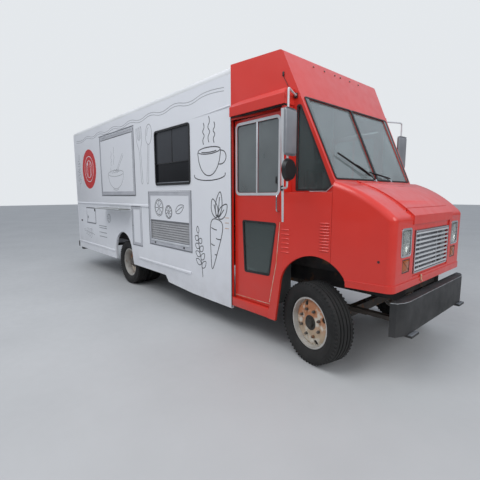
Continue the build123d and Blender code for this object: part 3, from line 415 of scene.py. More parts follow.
def spun(profile, place, steps=72):
    # turns a profile of (height along the axle, radius), in millimetres, about the wheel's axle
    bm = bmesh.new()
    verts = [bm.verts.new((radius / 1000, along / 1000, 0)) for along, radius in profile]
    edges = [bm.edges.new(pair) for pair in zip(verts, verts[1:])]
    spin_round(bm, verts + edges, (0, 1, 0), steps)
    bmesh.ops.remove_doubles(bm, verts=bm.verts, dist=MERGE)
    return moved(bm, place)


def drawn(strokes, radius, rounding, steps, straight=False):
    # round bars along lines of places, drawn as one curve and then made a mesh
    curve = bpy.data.curves.new("line", "CURVE")
    curve.dimensions = "3D"
    curve.bevel_depth = radius / 1000
    curve.bevel_resolution = rounding
    curve.use_fill_caps = True
    for places, closed in strokes:
        spline = curve.splines.new("POLY" if straight else "NURBS")
        spline.points.add(len(places) - 1)
        for spot, place in zip(spline.points, places):
            spot.co = (*at(*place), 1)
        if not straight:
            spline.order_u = 3
            spline.use_endpoint_u = not closed
            spline.resolution_u = steps
        spline.use_cyclic_u = closed
    line_object = bpy.data.objects.new("line", curve)
    bm = bmesh.new()
    bm.from_mesh(bpy.data.meshes.new_from_object(line_object))
    bpy.data.objects.remove(line_object)
    return bm


def bent_rod(name, places, radius, body, material, straight=False, closed=False):
    return piece(name, drawn([(places, closed)], radius, 3, 6, straight), body, material, sharp=50)


# %% Plates, frames and whole pieces


def join(bm, part):
    # puts a finished shape into another one
    kept = bpy.data.meshes.new("kept")
    part.to_mesh(kept)
    part.free()
    bm.from_mesh(kept)
    bpy.data.meshes.remove(kept)


def sheet_of(corners, radius, segments=5):
    # a flat face through corners in millimetres, its corners rounded
    sheet = bmesh.new()
    sheet.faces.new([sheet.verts.new(at(*corner)) for corner in corners])
    if radius:
        round_off(sheet, list(sheet.verts), radius, segments, "VERTICES")
    return sheet


def thicken(sheet, outward, thick):
    grown = bmesh.ops.extrude_face_region(sheet, geom=list(sheet.faces))["geom"]
    push = Vector(outward).normalized() * thick / 1000
    bmesh.ops.translate(sheet, verts=of_kind(grown, bmesh.types.BMVert), vec=push)
    return of_kind(grown, bmesh.types.BMFace)


def add_plate(bm, corners, radius, thick, outward):
    sheet = sheet_of(corners, radius)
    thicken(sheet, outward, thick)
    bmesh.ops.recalc_face_normals(sheet, faces=sheet.faces)
    join(bm, sheet)


def add_ring(bm, corners, radius, width, thick, outward):
    # a flat frame of one width round an opening
    sheet = sheet_of(corners, radius)
    sheet.normal_update()
    face = sheet.faces[:][0]
    if face.normal.dot(Vector(outward)) < 0:
        face.normal_flip()
    bmesh.ops.inset_region(sheet, faces=[face], thickness=width / 1000, use_even_offset=True, use_boundary=True)
    bmesh.ops.delete(sheet, geom=[face], context="FACES")
    thicken(sheet, outward, thick)
    bmesh.ops.recalc_face_normals(sheet, faces=sheet.faces)
    join(bm, sheet)


def side_frame(x0, x1, z0, z1, y):
    # four corners of an upright frame on the truck's side
    return [(x0, y, z0), (x1, y, z0), (x1, y, z1), (x0, y, z1)]


def end_frame(x, y0, y1, z0, z1):
    # the same for a frame that looks forward or back
    return [(x, y0, z0), (x, y1, z0), (x, y1, z1), (x, y0, z1)]


def flipped(bm):
    # the same shapes again on the truck's other side
    doubled = bmesh.ops.duplicate(bm, geom=everything(bm))["geom"]
    bmesh.ops.scale(bm, vec=(1, -1, 1), verts=of_kind(doubled, bmesh.types.BMVert))
    bmesh.ops.reverse_faces(bm, faces=of_kind(doubled, bmesh.types.BMFace))
    return bm


def built(name, body, material, *rows, both=False, **looks):
    bm = bmesh.new()
    for row in rows:
        tool, numbers = (row[0], row[1:]) if callable(row[0]) else (add_block, row)
        tool(bm, *numbers)
    return piece(name, flipped(bm) if both else bm, body, material, **looks)


print("tools ready")

# %% [markdown]
# ## Sheet metal
# The big panels keep the exact shape of their solids. What the solids lack is the small round at each edge, which
# catches a thin line of light on every real panel. A copy of the node is merged, its flat faces are joined, and a
# bevel modifier rounds its edges. The copy then stands for the node.

# %% Panels with rounded edges
PANELS = (
    (WRAP, 2.0, "side_wall_right side_wall_left rear_wall serving_hatch locker_door power_port_door"),
    (WRAP, 2.5, "rear_door_right rear_door_left"), (WRAP, 1.0, "generator_door"), (ROOF, 2.0, "box_roof"),
    (SHELF_GREY, 1.0, "serving_shelf"), (RED, 5.0, "cab_shell"), (RED, 3.0, "cab_sides"),
    (RED, 1.5, "cab_door_right cab_door_left"), (RED, 3.5, "nose hood"), (BUMPER, 4.0, "front_bumper rear_bumper"),
    (INSIDE, 12.0, "dashboard"), (PLATE, 2.0, "cab_floor"), (ALUMINIUM, 4.0, "fuel_tank"),
)


def cab_y(x):
    # how far out the cab's side stands, as it runs in towards the windshield
    return 1050 - 0.156 * (x + 1160)


def panel(name, material, soften):
    source = frame["nodes"][name]
    bm = bmesh.new()
    bm.from_mesh(source.data)
    bmesh.ops.remove_doubles(bm, verts=bm.verts, dist=0.00005)
    if name == "cab_shell":
        # its sides are flat sheets, so what lies within half a millimetre of them goes onto them
        for vert in bm.verts:
            gap = abs(vert.co.y) - cab_y((vert.co.x - TRUCK_AXLE) * 1000) / 1000
            if abs(gap) < 0.0005:
                vert.co.y -= math.copysign(gap, vert.co.y)
    bmesh.ops.dissolve_limit(bm, angle_limit=math.radians(0.6), verts=bm.verts, edges=bm.edges)
    made = piece(name + "_panel", bm, source["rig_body"], material, sharp=28, soften=soften)
    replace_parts(made, name)
    return made


for material, soften, names in PANELS:
    for name in names.split():
        print(name, "faces", len(panel(name, material, soften).data.polygons))

# %% [markdown]
# Pieces under the floor and behind glass are simple castings and bars. Their solids already have the right shape, so
# they only get their finish.

# %% Finishes of the other solids
PLAIN = (
    (FRAME_PAINT, "chassis_frame firewall"), (PLATE, "body_floor"), (PIPE, "propeller_shaft exhaust"),
    (IRON, "leaf_springs front_axle rear_axle knuckle_right knuckle_left engine"), (BLACK, "radiator"),
    (TINTED, "side_window"),
)
for material, names in PLAIN:
    for name in names.split():
        slots = frame["nodes"][name].data.materials
        slots.clear()
        slots.append(material)
    print(material.name, "on", names)

# %% [markdown]
# The panes differ in tint: the windshield is pale, the quarter panes and the low door windows are darker. One node
# holds several panes, so a copy of it gets its second tint by where each face lies. The louvre's slats are found in
# the generator door in the same way.

# %% Panes


def second_finish(made, material, chosen):
    made.data.materials.append(material)
    for face in made.data.polygons:
        face.material_index = int(chosen(face))
    print(made.name, "faces with the second finish", sum(face.material_index for face in made.data.polygons))


second_finish(panel("cab_glass", CLEAR, 0), QUARTER_PANE,
              lambda face: abs(face.center.y) > 0.84 and abs(face.normal.y) > 0.5)
for side, sign in SIDES:
    second_finish(panel("door_glass_" + side, DOOR_PANE, 0), LOW_PANE, lambda face: face.center.z < 1.5)
second_finish(bpy.data.objects["generator_door_panel"], LOUVRE_GREY, lambda face: (
    -0.081 < face.center.x < 1.021 and 0.984 < face.center.z < 1.276 and face.center.y > -1.0485))

# %% [markdown]
# ## Tyres
# A truck tyre is a thick round shell: a bead on the rim, a bulging side wall with a raised ring, a square shoulder
# and a flat tread with grooves round it. The whole section is drawn once and spun about the axle. The shoulder
# blocks are one small block, copied round by spin.

# %% Tyres
TYRE_SECTION = (
    (-78, 262), (-96, 268), (-108, 290), (-112, 296), (-117, 318), (-119.4, 338), (-118, 352), (-115.5, 354),
    (-113, 372), (-108, 384), (-104, 392), (-99, 401), (-90, 406.5), (-66, 408), (-64, 398), (-56, 398),
    (-54, 408.2), (-28, 408.4), (-26, 398), (-18, 398), (-16, 408.4), (0, 408.4),
)
LUGS = 60
KINGPIN_Y, FRONT_OFFSET, STEER = 795, 119, -13
REAR_X, DUAL_OUTER, DUAL_INNER = -4245, 875, 610


def wheel_place(x, y, angle=0.0):
    return shift(at(x, y, WHEEL_HEIGHT)) @ turned(angle, "Z")


def add_tyre(bm, place):
    join(bm, spun(list(TYRE_SECTION) + [(-y, r) for y, r in reversed(TYRE_SECTION[:-1])], place, 96))
    for side in (-1, 1):
        lug = bmesh.new()
        add_cube(lug, shift((0, side * 0.0985, 0.3925)) @ sized(0.02, 0.021, 0.028), 3, 1)
        bmesh.ops.spin(lug, geom=everything(lug), cent=(0, 0, 0), axis=(0, 1, 0), steps=LUGS - 1,
                       angle=FULL_TURN * (LUGS - 1) / LUGS, use_duplicate=True)
        join(bm, moved(lug, place))


FRONT_PLACES = {}
for side, sign in SIDES:
    steer, out = math.radians(STEER), sign * FRONT_OFFSET
    middle = (-out * math.sin(steer), sign * KINGPIN_Y + out * math.cos(steer))
    FRONT_PLACES[side] = wheel_place(*middle, STEER)
for side, sign in SIDES:
    made = built("front_tyre_" + side + "_rubber", "front_wheel_" + side, TYRE, (add_tyre, FRONT_PLACES[side]))
    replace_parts(made, "front_tyre_" + side)
    pair = [(add_tyre, wheel_place(REAR_X, sign * y)) for y in (DUAL_OUTER, DUAL_INNER)]
    made = built("rear_tyres_" + side + "_rubber", "rear_wheels_" + side, TYRE, *pair)
    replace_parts(made, "rear_tyres_" + side)
    print("tyres", side, "faces", len(made.data.polygons))

# %% [markdown]
# ## Wheels
# The steel wheel is a rolled barrel with a lip, and a pressed disc welded into it. The disc has four hand holes,
# eight wheel nuts round the hub and a dark bore. The disc is spun as a closed ring, and a boolean takes the hand
# holes out of it, as a press would punch them.

# %% Wheels


def cut(bm, cutter):
    # takes one closed shape out of another
    solids = []
    for name, shape in (("cut_body", bm), ("cut_tool", cutter)):
        bmesh.ops.recalc_face_normals(shape, faces=shape.faces)
        solids.append(as_object(name, shape))
    saw = solids[0].modifiers.new("saw", "BOOLEAN")
    saw.operation = "DIFFERENCE"
    saw.object = solids[1]
    saw.solver = "EXACT"
    bpy.context.view_layer.update()
    result = bmesh.new()
    result.from_mesh(evaluated_mesh(solids[0]))
    for solid in solids:
        bpy.data.objects.remove(solid)
    return result


def ring_of_rods(count, reach, radius, y0, y1, phase, sides=20):
    bm = bmesh.new()
    for k in range(count):
        angle = FULL_TURN * (k + phase) / count
        spot = shift((reach * math.cos(angle) / 1000, (y0 + y1) / 2000, reach * math.sin(angle) / 1000))
        add_drum(bm, spot @ turned(90, "X"), radius / 1000, abs(y1 - y0) / 1000, sides)
    return bm


def ring_of(section, place=Matrix.Identity(4)):
    return spun(section + section[:1], place)


BARREL = (
    (-85.5, 243), (-85.5, 258), (-83, 260.5), (-80, 260.5), (-79, 254), (-66, 250), (-40, 246), (-30, 238),
    (30, 238), (40, 246), (66, 250), (79, 254), (80, 260.5), (83, 260.5), (85.5, 258), (85.5, 243), (60, 240),
    (24, 232), (-24, 232), (-60, 240))
FRONT_DISC = (
    (-58, 60), (-66, 66), (-66, 112), (-60, 128), (-61, 165), (-56, 198), (-42, 222), (-34, 236), (-24, 240),
    (-24, 230), (-34, 214), (-47, 190), (-50, 160), (-49, 120), (-52, 60))
DEEP_DISC = (
    (-132.5, 112), (-132.5, 196), (-112, 218), (-60, 236), (-40, 240), (-44, 228), (-104, 208), (-122, 190),
    (-122, 112))
FRONT_HUB = ((-96, 0), (-96, 40), (-92, 48), (-70, 52), (-66, 76), (-58, 82), (-40, 84), (30, 84), (30, 0))
REAR_HUB = ((-190, 0), (-190, 62), (-180, 70), (-150, 74), (-140, 108), (150, 108), (150, 0))
STUD_REACH = 137.5


def wheel_parts(name, body, place, outward, disc, nut_y, hub=None):
    facing = place @ sized(1, -outward, 1)
    piece(name + "_barrel", ring_of(BARREL, place), body, RIM)
    punched = cut(ring_of(disc), ring_of_rods(4, 198, 27, -200, 200, 0.25))
    piece(name + "_disc", moved(punched, facing), body, DISC, soften=1.2)
    if hub:
        piece(name + "_hub", spun(hub, facing, 40), body, HUB_BLACK)
    nuts = ring_of_rods(8, STUD_REACH, 16, nut_y, nut_y - 24, 0.5, 6)
    round_off(nuts, list(nuts.edges), 2.5, 1)
    studs = ring_of_rods(8, STUD_REACH, 8.5, nut_y - 20, nut_y - 34, 0.5, 12)
    piece(name + "_nuts", moved(nuts, facing), body, IRON)
    piece(name + "_studs", moved(studs, facing), body, PIPE)


for side, sign in SIDES:
    name, body = "front_wheel_" + side, "rear_wheels_" + side
    wheel_parts(name, name, FRONT_PLACES[side], sign, FRONT_DISC, -62, FRONT_HUB)
    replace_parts(bpy.data.objects[name + "_disc"], "front_rim_" + side)
    wheel_parts("rear_outer_" + side, body, wheel_place(REAR_X, sign * DUAL_OUTER), -sign, DEEP_DISC, -132)
    wheel_parts("rear_inner_" + side, body, wheel_place(REAR_X, sign * DUAL_INNER), sign, DEEP_DISC, -132)
    middle = wheel_place(REAR_X, sign * (DUAL_OUTER + DUAL_INNER) / 2)
    piece("rear_hub_" + side, spun(REAR_HUB, middle @ sized(1, -sign, 1), 40), body, IRON)
    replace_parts(bpy.data.objects["rear_outer_" + side + "_disc"], "rear_rims_" + side)
print("wheels made")

# %% [markdown]
# ## Windshield and side glass
# Each pane sits in a black rubber gasket. The windshield leans back, so its gaskets are drawn in that leaning plane.
# A ring of one width is the simplest true shape: one flat face, its corners rounded, its middle taken out and its
# edge pushed outwards.

# %% Windshield rubbers
SCREEN_FOOT, SCREEN_FOOT_Z = 104, 1805
LEAN = (-274 - SCREEN_FOOT) / (2642 - SCREEN_FOOT_Z)
SCREEN_OUT = (1, 0, -LEAN)
QUARTER = ((-306, 1712), (26, 1712), (80, 1758), (-262, 2553), (-306, 2553))


def screen_x(z):
    return SCREEN_FOOT + (z - SCREEN_FOOT_Z) * LEAN


def on_screen(out, spots):
    return [(screen_x(z) + out, y, z) for y, z in spots]


def on_cab(sign, out, spots):
    return [(x, sign * (cab_y(x) + out), z) for x, z in spots]


rings, edges = [], []
for sign in (-1, 1):
    corners = on_screen(1, ((sign * y, z) for y, z in ((3, 1818), (826, 1818), (868, 2636), (3, 2636))))
    rings.append((add_ring, corners, 34, 17, 7, SCREEN_OUT))
    border = on_screen(1, ((sign * y, z) for y, z in ((797, 1824), (820, 1824), (862, 2630), (797, 2630))))
    edges.append((add_plate, border, 0, 3, SCREEN_OUT))
built("windshield_gasket", "truck", RUBBER, *rings, soften=1.5)
built("windshield_edge", "truck", SCREEN_EDGE, *edges)
strip = on_screen(-1, ((-9, 1822), (9, 1822), (9, 2630), (-9, 2630)))
built("windshield_divider", "truck", BLACK, (add_plate, strip, 0, 11, SCREEN_OUT), soften=2)
for side, sign in SIDES:
    ring_row = (add_ring, on_cab(sign, 0.5, QUARTER), 16, 16, 5, (0.154, sign * 0.988, 0))
    built("quarter_gasket_" + side, "truck", RUBBER, ring_row, soften=1.5)
    sill = on_cab(sign, 4, ((-150, 1707), (28, 1707), (92, 1762)))
    bent_rod("quarter_sill_" + side, sill, 3.5, "truck", SILVER_FRAME, straight=True)
print("windshield framed")

# %% [markdown]
# ## Wipers
# Two black arms turn on pivots at the foot of the windshield. A blade is a thin spine with a rubber lip that lies
# along the glass, so every place of it is given by how far it stands in front of the leaning plane.

# %% Wipers


def before_screen(y, z, out):
    lean = Vector(SCREEN_OUT).normalized() * out
    return (screen_x(z) + lean.x, y, z + lean.z)


for name, pivot, elbow, tips in (
        ("right", (-94, 1811), (-259, 1925), ((-646, 2079), (-150, 1868))),
        ("left", (262, 1811), (120, 1845), ((-140, 1905), (300, 1850)))):
    stem = (add_rod, before_screen(*pivot, 4), before_screen(*pivot, 34), 15, 20)
    built("wiper_pivot_" + name, "truck", CHROME, stem, soften=2)
    middle = [(a + b) / 2 for a, b in zip(*tips)]
    arm = [before_screen(*pivot, 28), before_screen(*elbow, 40), before_screen(*middle, 26)]
    bent_rod("wiper_arm_" + name, arm, 5, "truck", BLACK)
    spine = [before_screen(*tips[0], 20), before_screen(*middle, 27), before_screen(*tips[1], 20)]
    bent_rod("wiper_spine_" + name, spine, 4.5, "truck", BLACK)
    lip = [before_screen(*tip, 12) for tip in tips]
    bent_rod("wiper_lip_" + name, lip, 5, "truck", RUBBER, straight=True)
print("wipers made")

# %% [markdown]
# ## Grille and lamps
# The grille is a bright frame with nine bars in front of the dark radiator. Each lamp sits in a chrome bezel with
# rounded corners, with a curved reflector behind a clear lens; the turn lamp below it is ribbed amber plastic.

# %% Grille
GRILLE_Y, GRILLE_Z0, GRILLE_Z1, BARS = 437, 948, 1350, 9
opening = end_frame(696, -GRILLE_Y + 2, GRILLE_Y - 2, GRILLE_Z0 + 2, GRILLE_Z1 - 2)
built("grille_frame", "truck", CHROME, (add_ring, opening, 8, 15, 7, AHEAD), soften=1.5)
levels = [GRILLE_Z0 + 32 + k * (GRILLE_Z1 - GRILLE_Z0 - 64) / (BARS - 1) for k in range(BARS)]
bars = built("grille_bars", "truck", SILVER_FRAME, *[
    (686, 703, -GRILLE_Y + 12, GRILLE_Y - 12, z - 9, z + 9, 3.5, 2) for z in levels])
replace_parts(bars, "grille")
built("grille_uprights", "truck", ALUMINIUM, *[
    (676, 687, y - 7, y + 7, GRILLE_Z0 + 6, GRILLE_Z1 - 6, 1) for y in (-400, -290, 150, 290, 330, 372)])
built("grille_back_plates", "truck", GREY_FRAME, (664, 672, -372, -210, 1170, 1335, 2),
      (664, 672, -210, 90, 975, 1075, 2), (652, 660, -430, 430, 952, 1346, 1))
print("grille made")

# %% Headlamps and turn lamps
LAMP_Y0, LAMP_Y1, LAMP_Z0, LAMP_Z1 = 525, 728, 1132, 1382
TURN_Y0, TURN_Y1, TURN_Z0, TURN_Z1 = 535, 690, 985, 1108


def add_lens(bm, x, y0, y1, z0, z1, bulge, radius):
    # a thin cover whose front swells a little
    lens = sheet_of(end_frame(x, y0, y1, z0, z1), radius, 4)
    front = thicken(lens, AHEAD, 6)
    bmesh.ops.inset_region(lens, faces=front, thickness=0.02, depth=bulge / 1000)
    bmesh.ops.recalc_face_normals(lens, faces=lens.faces)
    join(bm, lens)


def add_reflector(bm):
    middle = at(690, -(LAMP_Y0 + LAMP_Y1) / 2, (LAMP_Z0 + LAMP_Z1) / 2)
    add_ball(bm, shift(middle) @ sized(0.045, 0.094, 0.118) @ turned(90, "Y"), 32, 20)
    bmesh.ops.bisect_plane(bm, geom=everything(bm), plane_co=middle, plane_no=AHEAD, clear_outer=True)


bezel = end_frame(694, -LAMP_Y1 - 4, -LAMP_Y0 + 4, LAMP_Z0 - 4, LAMP_Z1 + 4)
cover = (add_lens, 690, -LAMP_Y1 + 12, -LAMP_Y0 - 12, LAMP_Z0 + 12, LAMP_Z1 - 12, 4, 22)
amber = (add_lens, 691, -TURN_Y1 + 6, -TURN_Y0 - 6, TURN_Z0 + 6, TURN_Z1 - 6, 5, 12)
ribs = [(697, 704, -TURN_Y1 + 26, -TURN_Y0 - 26, z - 3, z + 3, 1) for z in range(TURN_Z0 + 22, TURN_Z0 + 101, 13)]
turn_frame = end_frame(694, -TURN_Y1, -TURN_Y0, TURN_Z0, TURN_Z1)
built("headlamp_bezels", "truck", CHROME, (add_ring, bezel, 30, 19, 10, AHEAD), both=True, soften=1.5)
built("headlamp_reflectors", "truck", REFLECTOR, (add_reflector,), both=True)
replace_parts(built("headlamp_lenses", "truck", LENS, cover, both=True), "front_lamps")
bulb = (add_rod, (655, -626, 1257), (682, -626, 1257), 14, 16, 9)
built("headlamp_bulbs", "truck", SILVER_FRAME, bulb, both=True)
built("turn_lenses", "truck", ORANGE_LAMP, amber, *ribs, both=True)
built("turn_frames", "truck", BLACK, (add_ring, turn_frame, 14, 8, 6, AHEAD), both=True, soften=1)
print("lamps made")

# %% [markdown]
# ## Nose details
# Plain housings stand inside of the front wheels, and a hood latch hangs under the grille. A small vent hole marks
# the fender's side. The vents pressed into the cowl's sides are rows of short slanted lips, one bar each.

# %% Housings, louvres and latch
HOLE_Y = 956 - (580 - 153) * 94 / 547
LIP_SLANT = 24


def cowl_y(x):
    return 1050 - max(0, x + 350) * 120 / 640


def add_lip(bm, x0, x1, z, side, tall=12, out=7):
    length = math.hypot(x1 - x0, cowl_y(x1) - cowl_y(x0)) / 1000
    middle = at((x0 + x1) / 2, side * (cowl_y(x0) + cowl_y(x1)) / 2, z)
    angle = math.degrees(math.atan2(side * (cowl_y(x1) - cowl_y(x0)), x1 - x0))
    place = shift(middle) @ turned(angle, "Z") @ turned(side * LIP_SLANT, "X")
    add_cube(bm, place @ sized(length, 2 * out / 1000, tall / 1000), 3)


built("wheel_housings", "truck", FRAME_PAINT, (81, 540, -572, -560, 882, 1112, 2),
      (-588, 55, -640, -628, 882, 1044, 2), both=True)
for side, sign in SIDES:
    lips = [(add_lip, -372, -283, 1092 + k * 46, sign) for k in range(6)]
    lips += [(add_lip, 42, 134, 1146 + k * 29, sign, 13) for k in range(10)]
    built("cowl_louvres_" + side, "truck", RED, *lips)
built("grille_latch", "truck", TRIM_LINE, (704, 716, -283, -259, 868, 920, 3),
      (add_rod, (708, -271, 862), (724, -271, 862), 9, 14))
hole = (add_rod, (580, -HOLE_Y + 3, 1100), (580, -HOLE_Y - 2.5, 1100), 11, 20)
built("side_vent_hole", "truck", BLACK, hole, both=True, soften=1)
print("louvres made")

# %% [markdown]
# ## Sliding doors
# A cab door is a red leaf with a silver window frame, an upright bar between its two panes and a smaller window low
# down, held in rubber. Along its front edge run a pale strip and a chrome handle. All of it slides with the door, so
# it stays flatter than the slot in the wall. Round the door, the wall's end, the sill and the front post are covered.

# %% Door frames, rubbers and handles
DOOR_FACE = 998
LOW_WINDOW = ((-1022, 1387), (-488, 1380), (-581, 789), (-986, 774))
GRIP = ((1, 1500), (34, 1504), (34, 1545), (34, 1625), (34, 1668), (1, 1672))
FRONT_LINE = ((-396, 1396), (-441, 950), (-489, 730), (-532, 520))
POST = ((-372, 1400), (-346, 1400), (-360, 2516), (-400, 2516))
for side, sign in SIDES:
    body = "cab_door_" + side
    out = (0, sign, 0)

    def off(by, face=DOOR_FACE):
        return sign * (face + by)

    built("door_window_frame_" + side, body, SILVER_FRAME,
          (add_ring, side_frame(-1135, -439, 1667, 2481, off(2)), 62, 30, 4, out),
          (-796, -774, off(4), off(-4), 1690, 2458, 2), soften=1)
    built("door_rubbers_" + side, body, RUBBER,
          (add_ring, side_frame(-1108, -466, 1694, 2454, off(-6)), 40, 9, 6, out),
          (add_ring, [(x, off(-3), z) for x, z in LOW_WINDOW], 30, 22, 6, out), soften=1)
    built("door_edge_strip_" + side, body, SILVER_FRAME, (-421, -404, off(-2), off(4), 1400, 2500, 1.5))
    built("door_latch_" + side, body, BLACK, (-505, -489, off(2), off(9), 1790, 1862, 3))
    bent_rod("door_handle_" + side, [(-462, off(by), z) for by, z in GRIP], 8, body, CHROME)
    foot = [(x, off(0.5), z) for x, z in ((-560, 476), (-1144, 466))]
    bent_rod("door_foot_line_" + side, foot, 3, body, TRIM_LINE, straight=True)
    slant = [(x, off(0.5, 1050), z) for x, z in FRONT_LINE]
    bent_rod("door_front_line_" + side, slant, 3.5, "truck", TRIM_LINE, straight=True)
    # a thin black strip under the drip rail: painted shadow of the rail, made in the gasket's black rubber finish
    built("drip_rail_painted_shadow_" + side, "truck", RUBBER, (-1155, -345, sign * 1062, sign * 1010, 2540, 2551, 2))
    post = (add_plate, [(x, sign * 1050, z) for x, z in POST], 0, 2.5, out)
    built("door_post_strip_" + side, "truck", SILVER_FRAME, post, soften=1)
    built("door_sill_" + side, "truck", RED, (-1156, -545, sign * 1048, sign * 1012, 332, 438, 4))
    built("door_jamb_" + side, "truck", RED, (-1160, -1158.4, sign * 1048, sign * 1011, 334, 2660))
print("doors dressed")

# %% [markdown]
# ## Mirrors
# Each mirror hangs on a bent tube that stands off the cab on two arms. The tall flat glass has a silver back; the
# round one below it is black. The left ones are the right ones mirrored.

# %% Mirrors
MIRROR_X, MIRROR_Y, MIRROR_TURN = -190, -1190, 8
MIRROR_TUBE = (
    (-316, -927, 2640), (-250, -1080, 2642), (-192, -1186, 2640), (-190, -1190, 2600), (-190, -1190, 2300),
    (-190, -1190, 1790), (-192, -1188, 1742), (-250, -1140, 1738), (-368, -1056, 1740))
HEAD = shift(at(MIRROR_X + 18, MIRROR_Y + 12, 2245)) @ turned(MIRROR_TURN, "Z")
BOWL_PLACE = shift(at(MIRROR_X + 10, MIRROR_Y + 3, 1905)) @ turned(MIRROR_TURN, "Z")


def add_mirror_back(bm):
    add_cube(bm, HEAD @ sized(0.03, 0.186, 0.424))
    long_edges = [edge for edge in bm.edges if abs((edge.verts[0].co - edge.verts[1].co).x) > 0.02]
    round_off(bm, long_edges, 30, 5)
    round_off(bm, [edge for edge in bm.edges if edge.calc_face_angle(0) > 1.2], 8, 3)


def mirror_over(bm):
    bmesh.ops.scale(bm, vec=(1, -1, 1), verts=bm.verts)


dish = BOWL_PLACE @ shift((0.01, 0, 0)) @ turned(90, "Y")
round_glass = BOWL_PLACE @ shift((-0.006, 0, 0)) @ sized(0.012, 0.1, 0.1)
MIRROR_PARTS = (
    ("mirror_back_", MIRROR_BACK, 0, [(add_mirror_back,)]),
    ("mirror_face_", MIRROR, 0, [(add_cube, HEAD @ shift((-0.0155, 0, 0)) @ sized(0.003, 0.15, 0.38))]),
    ("round_mirror_", BLACK, 0, [(add_drum, dish, 0.108, 0.034, 40, 0.108 * 0.86)]),
    ("round_mirror_face_", MIRROR, 0, [(add_ball, round_glass, 32, 16)]),
    ("mirror_feet_", BLACK, 1, [
        (-386, -358, -1064, -1050, 1715, 1765, 3), (-334, -302, -936, -918, 2615, 2665, 3),
        (add_rod, (-196, -1196, 2400), (-164, -1172, 2400), 9, 14),
        (add_rod, (-196, -1196, 2110), (-164, -1172, 2110), 9, 14)]))
for side, sign in (("right", 1), ("left", -1)):
    tube = [(x, sign * y, z) for x, y, z in MIRROR_TUBE]
    bent_rod("mirror_tube_" + side, tube, 10, "truck", SILVER_FRAME)
    for name, material, soften, rows in MIRROR_PARTS:
        over = [(mirror_over,)] if sign < 0 else []
        made = built(name + side, "truck", material, *rows, *over, soften=soften)
    if side == "right":
        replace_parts(made, "mirrors")
print("mirrors made")

# %% [markdown]
# ## Serving side
# The hatch, the generator door, the locker and the power port each close an opening in the wall. A grey frame is
# riveted round the opening and a second one runs round the door's own edge, which is why each door shows a double
# line. One tool makes every ring, and a table gives the openings.

# %% Frames of the serving side
WALL_Y = -1050
HATCH = (-5245, -3702, 1668, 2790)
WINDOW = (-2970, -2005, 1818, 2630)
VENT = (-3225, -2005, 884, 1723)
LOCKER = (-3872, -3515, 800, 1480)
PORT = (-6270, -5710, 1055, 1395)


def grown_ring(spot, by, radius, width, thick, y=WALL_Y):
    x0, x1, z0, z1 = spot
    return (add_ring, side_frame(x0 - by, x1 + by, z0 - by, z1 + by, y), radius, width, thick, RIGHT)


def on_wall(x0, x1, z0, z1, out, start=0, *rounding):
    # a block that stands out from the wall
    return (x0, x1, WALL_Y - start, WALL_Y - out, z0, z1, *rounding)


def wall_rod(x, z, start, out, radius, sides):
    return (add_rod, (x, WALL_Y - start, z), (x, WALL_Y - out, z), radius, sides)


for name, body, spot, wall_width, door_width, door_thick, door_finish in (
        ("hatch", "serving_hatch", HATCH, 12, 34, 4, DOOR_FRAME),
        ("vent", "generator_door", VENT, 11, 48, 4, DOOR_FRAME),
        ("locker", "locker_door", LOCKER, 10, 44, 4, DOOR_FRAME),
        ("port", "power_port_door", PORT, 8, 7, 2, GREY_FRAME)):
    built(name + "_wall_frame", "truck", GREY_FRAME, grown_ring(spot, wall_width, 0, wall_width, 4), soften=1)
    built(name + "_door_frame", body, door_finish, grown_ring(spot, -7, 0, door_width, door_thick), soften=1)
H0, H1 = HATCH[:2]
built("hatch_bottom_rail", "serving_hatch", DOOR_FRAME, on_wall(H0 + 44, H1 - 44, 1714, 1742, 3, 0, 1))
built("hatch_rain_gutter", "truck", GREY_FRAME, on_wall(H0 - 24, H1 + 24, 2824, 2834, 11, 0, 2))
built("hatch_inner_seal", "serving_hatch", RUBBER, on_wall(H0 + 40, H1 - 40, 2735, 2743, 2.5, 0, 1),
      on_wall(H1 - 62, H1 - 57, 1716, 2743, 2.5, 0, 1))
print("frames made")

# %% [markdown]
# The generator breathes through a louvre low in its door. A bright sill throws the rain off below it, and two black
# catches hold the door shut. Slots for the heater's air are grey strips on the wall, their grey painted shade inside
# the slots, and a few vent lips are pressed into the wall itself.

# %% Generator door, locker and port
LOUVRE = (-3165, -2065, 985, 1275)
catches = [row for x in (-3040, -2200) for row in (
    on_wall(x - 16, x + 16, 908, 934, 11, 2, 4), wall_rod(x, 921, 9, 15, 7, 16))]
built("louvre_frame", "generator_door", GREY_FRAME, grown_ring(LOUVRE, 12, 0, 13, 3), soften=1)
built("louvre_sill", "generator_door", SILVER_FRAME, on_wall(LOUVRE[0] - 6, LOUVRE[1] + 6, 948, 962, 12, 0, 3))
built("vent_catches", "generator_door", BLACK, *catches)
built("locker_lock", "locker_door", CHROME, wall_rod(-3842, 1140, 2, 9, 10, 20), soften=1)
built("port_latch", "power_port_door", BLACK, on_wall(-5762, -5728, 1322, 1376, 10, 1, 4))
built("port_lock", "power_port_door", GREY_FRAME, on_wall(-6200, -6166, 1150, 1212, 8, 1, 4),
      wall_rod(-6183, 1190, 7, 12, 9, 20))
# grey strips on the wall: the grey is painted shade inside the heater's air slots
built("heater_slots_painted_shade", "truck", GREY_FRAME, *[
    on_wall(-5525, -5112, z - 6, z + 6, 3.5, 0, 1.5) for z in (805, 891, 987, 1030)])
built("wall_vent_lips", "truck", TRIM_LINE, *[
    on_wall(-1278, -1206, z - 4, z + 4, 3, 0, 1.2) for z in (1270, 1337, 1398)])
built("body_seam_seal", "truck", RUBBER, on_wall(-1166, -1155, 300, 2660, 1.5, -4, 0.8), both=True)
print("doors of the serving side dressed")

# %% [markdown]
# The kitchen window slides in a black rubber frame. Its upper part is two tinted panes with an upright between them;
# the lower third is darker, as the fixed pane behind it doubles the tint.

